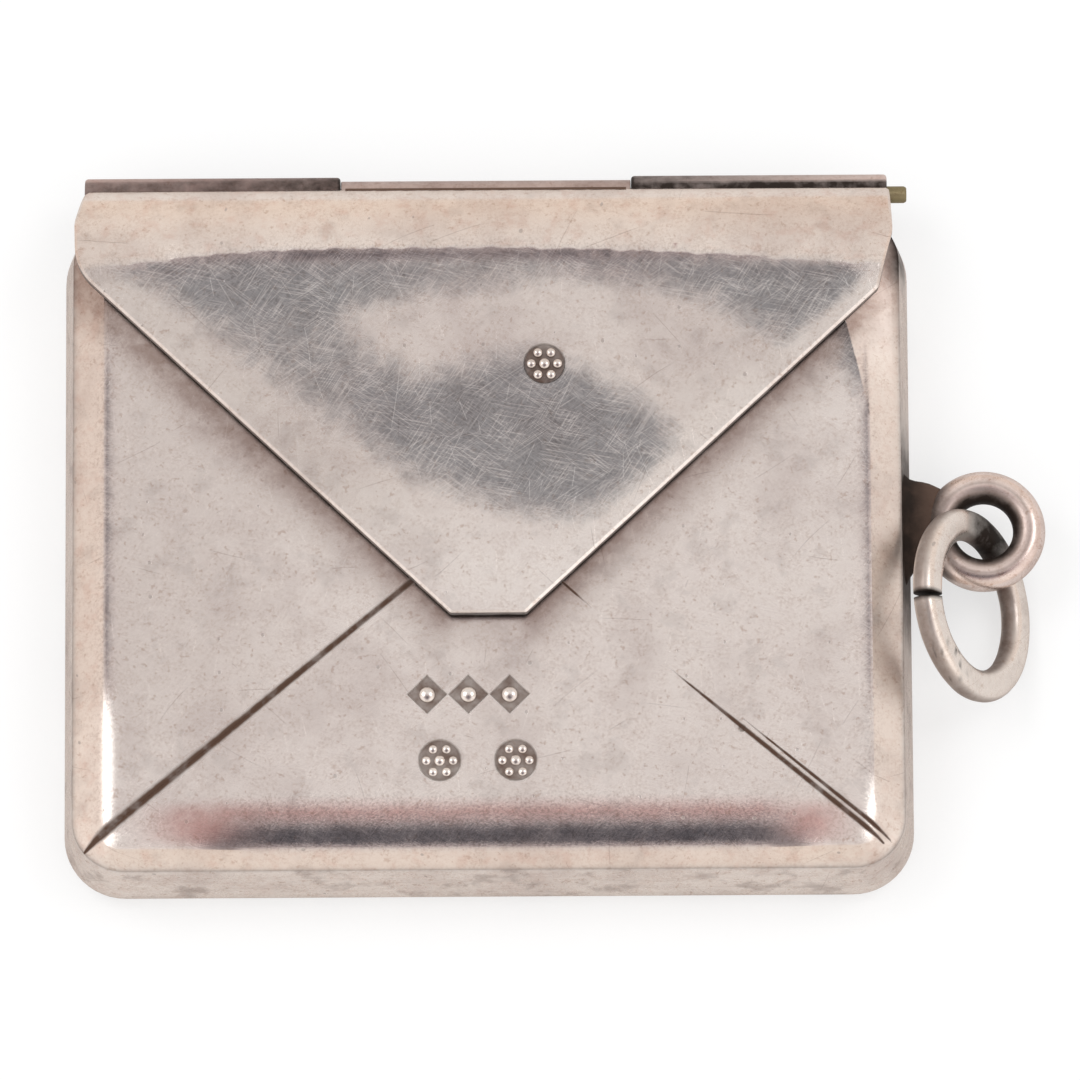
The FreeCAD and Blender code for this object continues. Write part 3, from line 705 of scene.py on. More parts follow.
profile = [(offset, 0.0) for offset in BACK_RINGS] + edge_arc(EDGE_ROUND, -90, 8, 12)
profile += [(WALL_LEAN * z, z) for z in (1.3, 1.7, 2.1, 2.5, 2.9, 3.2, SEAM - LIP_ROUND)]
profile += [(WALL_LEAN * SEAM + LIP_ROUND * 0.25, SEAM - LIP_ROUND * 0.25), (WALL_LEAN * SEAM + LIP_ROUND, SEAM)]
profile += [(WALL_LEAN * z + GAUGE / math.cos(math.atan(WALL_LEAN)), z) for z in (SEAM, 2.8, 2.2, 1.6)]
profile += edge_arc(EDGE_ROUND - GAUGE, 8, -90, 9) + [(offset, GAUGE) for offset in reversed(BACK_RINGS)]
points, faces = loft([pan_ring(offset, z) for offset, z in profile])
x, y, z = points.T
# Painted shade darkens the wall beside the loop, brown and near-black.
beside_loop = hump(y, loop_place[1] - 0.6, 3.3, 4) * (x > RIGHT_WALL)
dark_by_loop = hump(y, 0.6, 3.7, 4) * (x > RIGHT_WALL) * (z > 0.5)
at_seam = np.exp(-(SEAM - z) / 0.07) * (z > 2)
by_hinge = (y > 11.5) * hump(z, hinge_place[2], 1.0)
top_corner = fade(x, 13.2, 13.7) * fade(y, 9.2, 10.0) * (z > 1.5)
piece("pan", points, faces, pan_silver, "case", ["back_pan"], {
    "soot": most(0.85 * dark_by_loop, 0.75 * top_corner),
    "groove": most(0.95 * beside_loop, 0.55 * at_seam, 0.7 * by_hinge), "band": np.full(len(points), 0.5)})

# %% [markdown]
# ## Sheet metal tools
# The front and the flap are pressed from sheet. Each is drawn flat as an outline with guide lines
# for its rounded edge, its engraved lines and its sunk marks. A constrained triangulation keeps
# every guide as a row of edges, a height is worked out for each point, and a second skin gives the thickness.
# A grid with displacement would be simpler, but it would blur the engraved lines and the thin bevel.

# %% Distances on the sheet
def inward_box(points, half, radius):
    """How far each point lies inside a rounded rectangle."""
    beyond = np.abs(points) - (np.array(half) - radius)
    return radius - np.linalg.norm(np.maximum(beyond, 0), axis=1) - np.minimum(beyond.max(axis=1), 0)


def sides_of(corners):
    """The sides of a closed outline, as pairs of ends."""
    return zip(corners, np.roll(corners, -1, axis=0))


def inward_polygon(points, corners):
    """How far each point lies inside a convex outline that runs anticlockwise."""
    depth = np.full(len(points), np.inf)
    for first, second in sides_of(corners):
        along = second - first
        length = np.linalg.norm(along)
        if length > 1e-9:
            offset = points - first
            depth = np.minimum(depth, (along[0] * offset[:, 1] - along[1] * offset[:, 0]) / length)
    return depth


def depth_in(points, corners):
    """How far each point lies inside any closed outline, negative outside."""
    nearest = np.full(len(points), np.inf)
    inside = np.zeros(len(points), bool)
    for first, second in sides_of(corners):
        along, offset = second - first, points - first
        share = np.clip(offset @ along / (along @ along), 0, 1)
        nearest = np.minimum(nearest, np.linalg.norm(offset - share[:, None] * along, axis=1))
        spans = (first[1] > points[:, 1]) != (second[1] > points[:, 1])
        crossing = first[0] + along[0] * offset[:, 1] / (along[1] if along[1] else 1e-9)
        inside ^= spans & (points[:, 0] < crossing)
    return np.where(inside, nearest, -nearest)


print("the middle of the front is", round(inward_box(np.zeros((1, 2)), SEAM_HALF, CORNER)[0], 2),
      "mm from its edge")

# %% [markdown]
# ## Outlines
# The flap was sawn to shape and its corners were filed round, so its outline is given by corners with a radius
# for each. Moving the corners inwards gives the lines of the bevel, and extra points keep the triangles even.
# A curve object could hold the outline too, but plain points go straight into the triangulation.

# %% Outlines
def unit(vector):
    """A vector of length one."""
    return vector / np.linalg.norm(vector)


def round_corners(corners, radii, steps=9):
    """A convex outline with an arc at each corner."""
    found = []
    for k, (here, radius) in enumerate(zip(corners, radii)):
        before, after = unit(corners[k - 1] - here), unit(corners[(k + 1) % len(corners)] - here)
        half_angle = math.acos(np.clip(before @ after, -1, 1)) / 2
        start = here + before * radius / math.tan(half_angle)
        middle = here + unit(before + after) * radius / math.sin(half_angle)
        first = start - middle
        for angle in (math.pi - 2 * half_angle) * np.arange(steps + 1) / steps:
            found.append(middle + np.array([first[0] * math.cos(angle) - first[1] * math.sin(angle),
                                            first[0] * math.sin(angle) + first[1] * math.cos(angle)]))
    return np.array(found)


def inset_corners(corners, distance):
    """The corners of a convex outline moved inwards by a distance."""
    moved = []
    for before, here, after in zip(np.roll(corners, 1, axis=0), corners, np.roll(corners, -1, axis=0)):
        one, two = unit(here - before), unit(after - here)
        normal = unit(np.array([-one[1] - two[1], one[0] + two[0]]))
        moved.append(here + normal * distance / max(0.3, normal @ np.array([-two[1], two[0]])))
    return np.array(moved)


def spread(line, spacing, closed=True):
    """A line with extra points, so that none are further apart than the spacing."""
    found = []
    ends = np.roll(line, -1, axis=0) if closed else line[1:]
    for first, second in zip(line, ends):
        steps = max(1, math.ceil(np.linalg.norm(second - first) / spacing))
        found.extend(first + (second - first) * k / steps for k in range(steps))
    if not closed:
        found.append(line[-1])
    return np.array(found)


square = np.array([(0.0, 0.0), (1.0, 0.0), (1.0, 1.0), (0.0, 1.0)])
print("a square with rounded corners has", len(round_corners(square, np.full(4, 0.2))), "points")

# %% [markdown]
# ## Sheets
# A sheet is filled with even triangles: the guide points first, then a grid of points that keep clear of them.
# Blender's own Delaunay function joins them. The second skin has the same triangles turned round,
# and the free edges of both skins are stitched, so that the piece is a closed body.

# %% Sheets
ROW_STEP = 0.87
CLEARANCE = 0.6


def triangulate(outline, closed_guides, open_guides, spacing, room):
    """Triangles that fill an outline and keep each guide as edges, all in the plane."""
    points, edges = [], []
    guides = [(line, True) for line in [outline] + closed_guides] + [(line, False) for line in open_guides]
    for line, closed in guides:
        first = len(points)
        points.extend(Vector(p) for p in line)
        edges.extend((first + k, first + k + 1) for k in range(len(line) - 1))
        if closed:
            edges.append((first + len(line) - 1, first))
    near = kdtree.KDTree(len(points))
    for k, point in enumerate(points):
        near.insert((point.x, point.y, 0), k)
    near.balance()
    low, high = outline.min(axis=0), outline.max(axis=0)
    rows = np.arange(low[1], high[1], spacing * ROW_STEP)
    columns = np.arange(low[0], high[0], spacing)
    grid = np.array([(x + (spacing / 2 if k % 2 else 0), y) for k, y in enumerate(rows) for x in columns])
    for x, y in grid[room(grid) > spacing * CLEARANCE]:
        if near.find((x, y, 0))[2] > spacing * CLEARANCE:
            points.append(Vector((x, y)))
    made = delaunay_2d_cdt(points, edges, [list(range(len(outline)))], 1, 1e-5)
    flat = np.array([(p.x, p.y) for p in made[0]])
    faces = np.array([f for f in made[2] if len(f) == 3])
    a, b, c = flat[faces[:, 0]], flat[faces[:, 1]], flat[faces[:, 2]]
    area = (b[:, 0] - a[:, 0]) * (c[:, 1] - a[:, 1]) - (b[:, 1] - a[:, 1]) * (c[:, 0] - a[:, 0])
    faces[area < 0] = faces[area < 0][:, ::-1]
    return flat, faces[np.abs(area) > 1e-9]


def shell(outer, inner, faces):
    """Points and faces of a sheet from two skins, stitched along the free edges."""
    count = len(outer)
    whole = [tuple(f) for f in faces] + [(f[2] + count, f[1] + count, f[0] + count) for f in faces]
    used = {}
    for f in faces:
        for side in ((f[0], f[1]), (f[1], f[2]), (f[2], f[0])):
            used[side] = True
    whole += [(b, a, a + count, b + count) for a, b in used if (b, a) not in used]
    return np.vstack([outer, inner]), whole


def skins(outer, inner=0.0):
    """A mask for a sheet: the values of the outer skin, then those of the lining."""
    return np.concatenate(np.broadcast_arrays(outer, inner))


flat, faces = triangulate(square, [], [], 0.3, lambda p: inward_polygon(p, square))
print("a square sheet has", len(flat), "points and", len(faces), "triangles")

# %% [markdown]
# ## Flap outline
# The flap is a blunt triangle that rolls over the top edge. It is worn unevenly: the left shoulder is
# a long curve and the right one is still a corner. The outline is drawn on the unrolled sheet,
# so that the part beyond the bend can be rolled down afterwards along a quarter of an ellipse.

# %% Flap outline
BEND_START = 10.05
ROLL_DEPTH = flap_high[1] - BEND_START
ROLL_DROP = 1.75
FLAP_TOP = flap_high[2]
FLAP_END = flap_low[2] + 0.10
NOSE = flap_low[1]
ROLL_EDGE = ([-14, -12, -9, -6, 0, 4, 8, 12, 14],
             [9.6, 9.85, 10.16, 10.29, 10.31, 10.22, 10.04, 9.76, 9.6])


def roll_start(x):
    """Where the roll begins on the sheet, a little uneven along its length."""
    return (np.interp(x, *ROLL_EDGE) + 0.022 * np.sin(4.7 * x + 1.0) + 0.016 * np.sin(9.1 * x)
            + 0.012 * np.sin(2.3 * x))


def roll_curve(first_turn):
    """Share of the run, y share, drop share and tilt along the roll, which may start with a crease."""
    drop_end = (FLAP_TOP - FLAP_END) / ROLL_DROP
    turns = np.linspace(first_turn, math.acos(math.cos(first_turn) * (1 - drop_end)), 400)
    out = (np.sin(turns) - math.sin(first_turn)) / (1 - math.sin(first_turn))
    down = (math.cos(first_turn) - np.cos(turns)) / math.cos(first_turn)
    steps = np.hypot(np.diff(out) * ROLL_DEPTH, np.diff(down) * ROLL_DROP)
    length = np.concatenate([[0], np.cumsum(steps)])
    tilt = np.arctan2(ROLL_DROP * np.gradient(down), ROLL_DEPTH * np.gradient(out))
    return length / length[-1], out, down, tilt, length[-1]


UNROLLED = BEND_START + roll_curve(0.0)[4]
FLAP_CORNERS = np.array([(-1.30, NOSE), (1.34, NOSE), (13.76, 8.76), (14.30, 11.0), (14.20, UNROLLED),
                         (-14.05, UNROLLED), (-14.47, 11.5), (-14.42, 9.62)])
FLAP_RADII = np.array([0.16, 0.16, 0.35, 1.6, 0.3, 0.5, 1.4, 2.0])


def flap_loop(distance):
    """The flap's outline moved inwards by a distance."""
    return round_corners(inset_corners(FLAP_CORNERS, distance), np.maximum(FLAP_RADII - distance, 0.04))


flap_outline = flap_loop(0.0)
print("flap", len(flap_outline), "outline points, unrolled to", round(UNROLLED, 2))

# %% [markdown]
# ## Front panel: edges
# The front is a shallow tray turned over. Its sides slope like a chamfer and its lower edge is a broad soft roll,
# which is why the two show such different reflections. Each edge is a table of slopes against the distance from
# the rim. Adding the slopes up gives the height, so a fold is simply a place where the slope jumps.

# %% Front edges
FRONT = panel_high[2]
SEAM_CORNER = CORNER - WALL_LEAN * SEAM
SIDE_FOLD, FOOT_FOLD = 1.1, 0.62
SIDE_SLOPE = ([0, 0.04, 0.15, SIDE_FOLD], [2.2, 1.2, 0.66, 0.60])
SOFT_SLOPE = ([0, 0.04, 0.15, 1.0, 1.1, 1.35, 1.55], [2.0, 1.1, 0.64, 0.58, 0.30, 0.20, 0])
FOOT_SLOPE = ([0, 0.06, 0.3, 0.60, 0.72, 1.1, 1.5, 1.85, 2.2, 2.6],
              [1.3, 0.9, 0.80, 0.72, 0.42, 0.28, 0.15, 0.06, 0.015, 0])
FOOT_END_SLOPE = ([0, 0.06, 0.3, FOOT_FOLD], [1.3, 0.9, 0.80, 0.72])
FOOT_SOFT = ([-10.6, -8.0, 9.4, 11.8], [0, 1, 1, 0])


def drop_curve(knots):
    """Drop below the front against distance from the edge, from a table of slopes."""
    far = np.linspace(0, knots[0][-1], 300)
    slope = np.interp(far, *knots)
    fallen = np.concatenate([np.cumsum((slope[:-1] + slope[1:])[::-1])[::-1], [0]])
    return far, fallen * (FRONT - SEAM) / fallen[0]


def fold_reach(y):
    """How much wider the right side slope gets towards the top."""
    return 1 + 0.22 * np.clip(y - 4.3, 0, 4.5)


SIDE_DROP, SOFT_DROP, FOOT_DROP, FOOT_END_DROP = (
    drop_curve(knots) for knots in (SIDE_SLOPE, SOFT_SLOPE, FOOT_SLOPE, FOOT_END_SLOPE))
print("the edges fall", round(FRONT - SEAM, 2), "mm")

# %% [markdown]
# ## Front panel: engraved lines
# Two engraved lines run from the lower corners up to the nose of the flap, like the folds of an envelope.
# A graver cuts wide and deep where it is pressed, so each line is a table of half widths along its length.
# The right line fades out half way, starts again by the nose, and was cut a second time at its foot.

# %% Engraved lines
CREASES = [  # start, stop, shares along the line, half widths there
    ((-14.1, -11.22), (-1.2, -0.45), [0, 0.05, 0.25, 0.6, 1], [0.04, 0.18, 0.16, 0.12, 0.10]),
    ((13.72, -11.10), (6.3, -4.84), [0, 0.08, 0.65, 0.9, 1], [0.04, 0.10, 0.085, 0.04, 0.012]),
    ((3.62, -2.66), (2.2, -1.36), [0, 0.4, 1], [0.012, 0.04, 0.05]),
    ((13.95, -10.96), (8.9, -6.72), [0, 0.1, 0.6, 1], [0.03, 0.085, 0.06, 0.02])]
CREASE_DEPTH, CREASE_FULL = 0.1, 0.14
CREASE_LANES = (-1.5, -1, -0.6, 0, 0.6, 1, 1.5)


def crease_place(points, crease):
    """Share along an engraved line, distance from it in half widths, and the half width there."""
    start, stop = np.array(crease[0]), np.array(crease[1])
    along = stop - start
    length = np.linalg.norm(along)
    offset = points - start
    share = offset @ along / length ** 2
    width = np.interp(share, *crease[2:])
    return share, np.abs(along[0] * offset[:, 1] - along[1] * offset[:, 0]) / length / width, width


print(len(CREASES), "cuts, the widest", 2 * max(max(crease[3]) for crease in CREASES), "mm")

# %% [markdown]
# ## Front panel: ornament
# A plain ornament of three sunk lozenges and two rounds stands below the nose, and further right is a small dent.
# Each is pressed straight down with a steep wall, so its outline goes into the sheet as guides, at the foot
# and at the edge of that wall. A boolean cut would leave long thin triangles, and they show in the reflections.

# %% Ornament
LOZENGE, ROUND = 4, 24
ORNAMENT = [  # middle, sides, radius, depth
    ((-2.13, -5.75), LOZENGE, 0.71, 0.08), ((-0.69, -5.75), LOZENGE, 0.71, 0.08),
    ((0.75, -5.75), LOZENGE, 0.71, 0.08), ((-1.70, -8.12), ROUND, 0.76, 0.08), ((0.95, -8.12), ROUND, 0.76, 0.08)]
DENT = ((8.84, -7.03), 10, 0.15, 0.05)
MARK_WALL, MARK_SPACING = 0.06, 0.2
MARK_GUIDES = (-MARK_WALL, 0.0, 0.07)


def mark_outline(mark, grow):
    """The corners of one sunk mark, grown by a distance."""
    middle, sides, radius, _ = mark
    angles = np.arange(sides) * math.tau / sides
    return np.array(middle) + (radius + grow) * np.column_stack([np.cos(angles), np.sin(angles)])


def mark_guides(marks):
    """Guide lines at the foot, the edge and just outside each mark."""
    return [spread(mark_outline(mark, grow), MARK_SPACING) for mark in marks for grow in MARK_GUIDES]


def sink_mark(flat, mark, drop, groove):
    """Presses one mark into the sheet and tarnishes it."""
    inside = inward_polygon(flat, mark_outline(mark, 0.0))
    return drop + mark[3] * fade(inside, 0, MARK_WALL), most(groove, 0.8 * fade(inside, -0.015, 0.035))


print(len(ORNAMENT), "sunk marks and a dent")

# %% [markdown]
# ## Front panel: sheet
# Under the flap the sheet is scooped out in a curve, so that a finger can reach the stamps. All guide lines meet
# here: rings that follow the rim carry the curved edges, lanes beside each engraved line carry its cut,
# and the triangles that fill the mouth are thrown away.

# %% Front sheet
MOUTH_HALF, MOUTH_LIP, SCOOP = 12.0, 10.35, 5.0
SCOOP_RADIUS = (MOUTH_HALF ** 2 + SCOOP ** 2) / (2 * SCOOP)
FRONT_RINGS = (0.03, 0.08, 0.15, 0.3, 0.5, FOOT_FOLD, 0.72, 0.9, 1.0, SIDE_FOLD, 1.22, 1.35, 1.6, 1.9, 2.3, 2.7)
RIM_SPACING, FRONT_SPACING = 0.4, 0.24


def mouth_edge(x):
    """The curved lip of the mouth."""
    return MOUTH_LIP - SCOOP + SCOOP_RADIUS - np.sqrt(np.maximum(0, SCOOP_RADIUS ** 2 - x ** 2))


front_loops = [spread(box_loop(SEAM_HALF - d, max(0.25, SEAM_CORNER - d)), RIM_SPACING) for d in FRONT_RINGS]
guides = []
shares = np.linspace(0, 1, 90)
for first, last, *widths in CREASES:
    start, stop = np.array(first), np.array(last)
    side = np.array([start[1] - stop[1], stop[0] - start[0]]) / np.linalg.norm(stop - start)
    for lane in CREASE_LANES:
        width = np.interp(shares, *widths)
        guides.append(start + np.outer(shares, stop - start) + np.outer(lane * width, side))
fold_y = np.linspace(-9.0, 9.6, 94)
for gap in (0.0, 0.05):
    guides.append(np.column_stack([SEAM_HALF[0] - SIDE_FOLD * fold_reach(fold_y) + gap, fold_y]))
scoop_x = np.linspace(-MOUTH_HALF, MOUTH_HALF, 81)
guides.append(np.column_stack([scoop_x, mouth_edge(scoop_x)]))
for end in (-MOUTH_HALF, MOUTH_HALF):
    guides.append(np.array([(end, SEAM_HALF[1] - 0.02), (end, MOUTH_LIP)]))
flat, faces = triangulate(box_loop(SEAM_HALF, SEAM_CORNER), front_loops + mark_guides(ORNAMENT + [DENT]),
                          guides, FRONT_SPACING, lambda p: inward_box(p, SEAM_HALF, SEAM_CORNER))
middle = flat[faces].mean(axis=1)
faces = faces[(np.abs(middle[:, 0]) >= MOUTH_HALF) | (middle[:, 1] <= mouth_edge(middle[:, 0]))]
kept = np.unique(faces)
renumber = np.zeros(len(flat), int)
renumber[kept] = np.arange(len(kept))
flat, faces = flat[kept], renumber[faces]
print("front sheet", len(flat), "points,", len(faces), "triangles")

# %% [markdown]
# ## Unevenness
# Hand-worked sheet is never quite flat. A hundredth of a millimetre can't be seen as a shape, but it bends the
# reflections. Four long waves in different directions give it, the same each time for the same seed.

# %% Unevenness
FRONT_UNEVEN, FRONT_SEED = 0.012, 1.0


def ripple(points, size, seed):
    """Slow unevenness of hand-worked sheet."""
    x, y = points.T
    return size * (np.sin(0.71 * x + 0.43 * y + seed) + np.sin(0.52 * y - 0.38 * x + 2.1 * seed)
                   + 0.6 * np.sin(1.27 * x - 0.31 * y + 0.7 * seed)
                   + 0.6 * np.sin(0.93 * y + 0.88 * x + 1.3 * seed)) / 3


print("unevenness at the middle", round(ripple(np.zeros((1, 2)), FRONT_UNEVEN, FRONT_SEED)[0], 4), "mm")

# %% [markdown]
# ## Front panel: heights
# The height is the sum of the edges, the engraved lines, the sunk marks and the unevenness.
# Near a lower corner the curves of side and foot are mixed, so that the corner turns smoothly.
# The lining follows the outer skin at the thickness of the sheet and is drawn in at the rim.

# %% Front heights
CORNER_MIX = 0.8
SOFT_LEFT, SOFT_RIGHT, SOFT_OVER = -4.8, -8.0, 2.2  # where the side slopes start to soften, and over what length
UNEVEN_OVER = 2.5
TURNED_IN, TURN_OVER = GAUGE * 1.01, 1.6

x, y = flat.T
inward = inward_box(flat, SEAM_HALF, SEAM_CORNER)
to_side, to_end = SEAM_HALF[0] - np.abs(x), SEAM_HALF[1] - np.abs(y)
side_share = fade(to_end - to_side, -CORNER_MIX, CORNER_MIX)
side_share = np.where(y > 0, 1, side_share * side_share * (3 - 2 * side_share))
foot_share = 1 - side_share
foot_soft = np.interp(x, *FOOT_SOFT)
reached = inward / np.where(x > 0, fold_reach(y), 1)
soft = np.clip((np.where(x < 0, SOFT_LEFT, SOFT_RIGHT) - y) / SOFT_OVER, 0, 1)
side_drop = (1 - soft) * np.interp(reached, *SIDE_DROP) + soft * np.interp(inward, *SOFT_DROP)
foot_drop = foot_soft * np.interp(inward, *FOOT_DROP) + (1 - foot_soft) * np.interp(inward, *FOOT_END_DROP)
drop = side_share * side_drop + foot_share * foot_drop
groove = np.zeros(len(flat))
for crease in CREASES:
    share, across, width = crease_place(flat, crease)
    on_line = (share > -0.001) & (share < 1.001)
    cut = CREASE_DEPTH * (width / CREASE_FULL) * fade(width, 0.012, 0.042)
    drop += on_line * cut * fade(across, 1, 0)
    groove = most(groove, on_line * fade(across, 1.4, 0.6) * fade(width, 0.009, 0.039))
for mark in ORNAMENT + [DENT]:
    drop, groove = sink_mark(flat, mark, drop, groove)
rise = fade(inward, 0, UNEVEN_OVER)
drop = np.maximum(drop + FRONT_UNEVEN * rise - rise * ripple(flat, FRONT_UNEVEN, FRONT_SEED), 0)
level = np.maximum(FRONT - drop, SEAM)
turned_in = TURNED_IN * fade(inward, TURN_OVER, 0)
pull = 1 - turned_in[:, None] / np.maximum(np.abs(flat), 1)
lower = np.maximum(np.minimum(level, FRONT - side_share * np.interp(inward, *SIDE_DROP)) - GAUGE, SEAM)
points, faces = shell(np.column_stack([flat, level]), np.column_stack([flat * pull, lower]), faces)
print("front from", round(level.min(), 2), "to", round(level.max(), 2), "mm")

# %% [markdown]
# ## Front panel: wear
# Beside the flap a painted shadow darkens the metal, and under the flap lies grime that polishing never reaches.
# The side slopes are warm, with a painted dark line just inside them, and the left of the front is painted darker.
# The roll at the foot mirrors the dark opening; painted reflection deepens its band and gives it a rosy edge,
# and a painted dark wedge follows the right fold under the flap.
# Each mask is a product of fades measured from the rim, from the fold or from the flap's outline.

# %% Front wear
beside_flap = -inward_polygon(flat, flap_outline)
# Painted shadow in a band beside the flap, and grime under it.
shade = 0.75 * np.exp(-np.abs(beside_flap) / 0.35) + 0.70 * hump(np.maximum(beside_flap, 0), 0, 1.05)
shade *= 1 - 0.6 * fade(np.abs(x), 1.6, 1.1) * (y < NOSE)
# Painted shade: the left of the front is a little darker.
shade += 0.24 * fade(x, -5.0, -10.0) * fade(y, -9.0, -5.0)
band = fade(reached, 1.25, 1.05) * side_share + foot_share * fade(inward, 0.75, 0.55)
band *= 1 - 0.5 * fade(x, 12.0, 12.5) * side_share
# Painted reflection: the band of the roll at the foot is darkened further.
in_foot = fade(inward, 0.72, 0.82) * fade(inward, 1.75, 1.25) * foot_share * fade(np.abs(x - 0.8), 10.0, 8.0)
# A painted dark line just inside the side slopes.
beside_roll = fade(inward, 1.09, 1.13) * np.exp(-np.maximum(inward - 1.15, 0) / 0.2) * side_share
beside_roll *= fade(np.abs(y - 0.5), 7.0, 5.0)
from_fold = to_side - SIDE_FOLD * fold_reach(y)
# Painted shade: a dark wedge along the right fold under the flap.
wedge = np.exp(-np.maximum(from_fold, 0) / 0.55) * fade(y, 3.8, 6.0) * (from_fold > -0.01) * (x > 0)
# Painted rosy reflection above the foot's band and at both of its ends.
over_foot = fade(inward, 1.45, 1.75) * fade(inward, 2.45, 1.95) * foot_share * fade(np.abs(x), 11.5, 9.5)
left_of_foot, right_of_foot = (hump(x, middle, width) * hump(y, -10.4, 0.7, 4)
                               for middle, width in ((-10.0, 1.6), (11.2, 1.2)))
along_foot = np.maximum(fade(np.abs(x - 0.8), 10.6, 8.6), 0.2)
foot_grit = fade(inward, 0.6, 0.7) * fade(inward, 2.7, 2.1) * foot_share * along_foot
top_corner = np.exp(-inward / 0.3) * fade(x, 13.0, 13.6) * fade(y, 9.0, 9.6)
piece("front", points, faces, case_silver, "case", ["front_panel"], {
    "groove": skins(most(groove, 0.6 * np.exp(-inward / 0.06))),
    "band": skins(band), "shade": skins(shade), "soot": skins(top_corner),
    "rose": skins(most(0.75 * over_foot, 0.9 * left_of_foot, 0.8 * right_of_foot, 0.35 * beside_roll)),
    "polish": skins(most(0.47 * in_foot, 0.95 * beside_roll, wedge)),
    "grit": skins(most(0.6 * hump(reached, 1.2, 0.35) * side_share, foot_grit))}, sharp=13)

# %% [markdown]
# ## Flap: sheet
# The flap is cut from the same sheet, with a bright bevel all round and one more sunk round on it.
# It is triangulated on the unrolled sheet, where distances are easy to measure. Guides follow the start
# of the roll, because the light breaks there.

# %% Flap sheet
BEVEL = 0.09
FLAP_MARK = ((2.03, 6.07), ROUND, 0.74, 0.07)
EDGE_SPACING, FLAP_SPACING = 0.3, 0.22

flap_loops = [spread(flap_loop(d), EDGE_SPACING) for d in (0.045, BEVEL, BEVEL + 0.05, BEVEL + 0.15)]
bend_lines = [spread(np.array([(-14.2, BEND_START + gap), (14.0, BEND_START + gap)]), EDGE_SPACING, closed=False)
              for gap in (0.4, 0.6)]
edge_x = np.linspace(-14.0, 13.8, 260)
bend_lines += [np.column_stack([edge_x, roll_start(edge_x) + gap]) for gap in (-0.04, 0.0, 0.04)]
flat, faces = triangulate(spread(flap_outline, EDGE_SPACING), flap_loops + mark_guides([FLAP_MARK]), bend_lines,
                          FLAP_SPACING, lambda p: inward_polygon(p, flap_outline))
print("flap sheet", len(flat), "points,", len(faces), "triangles")

# %% [markdown]
# ## Flap: roll
# The upper end was bent down over a rod. The roll starts with a faint crease, which is why the dark patch of
# the flap ends there in a sharp line. A Simple Deform modifier bends a mesh too, but only round a circle and
# without a crease, so each point is carried along the curve by its share of the length.
# The lining rolls without the crease.

# %% Flap roll
CREASE_TURN = math.radians(17)
BEVEL_DROP, BEVEL_POWER = 0.06, 1.2
FLAP_UNEVEN, FLAP_SEED = 0.03, 4.2
NOSE_LIFT = 0.07  # how far the sheet behind the nose lies below it


def rolled(start, first_turn):
    """Where each point of the unrolled sheet goes in y and z, and its normal there."""
    share, out, down, tilt, _ = roll_curve(first_turn)
    run = np.clip((flat[:, 1] - start) / (UNROLLED - start), 0, 1)
    y = np.where(run > 0, start + (flap_high[1] - start) * np.interp(run, share, out), flat[:, 1])
    z = FLAP_TOP - ROLL_DROP * np.interp(run, share, down)
    angle = np.where(run > 0, np.interp(run, share, tilt), 0)
    return np.column_stack([y, z]), np.column_stack([np.sin(angle), np.cos(angle)])


x, y = flat.T
inward = inward_polygon(flat, flap_outline)
below_roll = roll_start(x) - y
skin, normal = rolled(roll_start(x), CREASE_TURN)
lining, lining_normal = rolled(np.full(len(flat), BEND_START), 0.0)
drop, groove = sink_mark(flat, FLAP_MARK, BEVEL_DROP * fade(inward, BEVEL, 0) ** BEVEL_POWER, 0.0)
ease = fade(inward, BEVEL, BEVEL + 2.0) * fade(y, BEND_START + 0.6, BEND_START - 0.9)
nose_lift = NOSE_LIFT * fade(y, NOSE + 0.3, NOSE + 6.3)
drop += ease * (FLAP_UNEVEN - ripple(flat, FLAP_UNEVEN, FLAP_SEED)) + np.clip(ease * 2, 0, 1) * nose_lift
drop = np.maximum(drop, 0)
outer = np.column_stack([x, skin - normal * drop[:, None]])
inner = np.column_stack([x, lining - lining_normal * GAUGE])
inner[:, 2] = np.maximum(inner[:, 2], FLAP_END)
points, faces = shell(outer, inner, faces)
print("flap from", round(inner[:, 2].min(), 2), "to", round(outer[:, 2].max(), 2), "mm")

# %% [markdown]
# ## Flap: wear
# Thumbs have rubbed a large patch on the flap, and it is full of hairlines. Its outline was drawn as one
# loop of points. The edge fades over almost two millimetres, except at the roll, where it is cut off sharply.
# The margins and the nose are paler, and the bevel carries a painted glint, brightest on the right.

# %% Flap wear
RUBBED_EDGE = np.array([
    (-13.65, 10.25), (-6.5, 10.27), (3.98, 10.2), (13.89, 10.0), (13.26, 8.7), (12.17, 7.81), (10.59, 6.91),
    (9.2, 7.61), (7.46, 8.56), (5.37, 9.15), (2.58, 9.38), (-0.57, 8.93), (-3.01, 8.62), (-4.69, 8.13),
    (-4.84, 7.55), (-3.8, 6.32), (-2.51, 5.58), (-1.11, 5.87), (0.46, 6.4), (1.86, 6.39), (3.6, 5.69),
    (5.34, 4.67), (6.31, 3.76), (6.48, 3.03), (5.75, 2.13), (4.1, 0.95), (2.52, 0.49), (0.61, 0.97),
    (-1.14, 1.56), (-3.05, 2.44), (-5.49, 4.01), (-8.61, 6.45), (-11.39, 8.93), (-12.79, 9.55)])
RUBBED_SOFT = 0.85

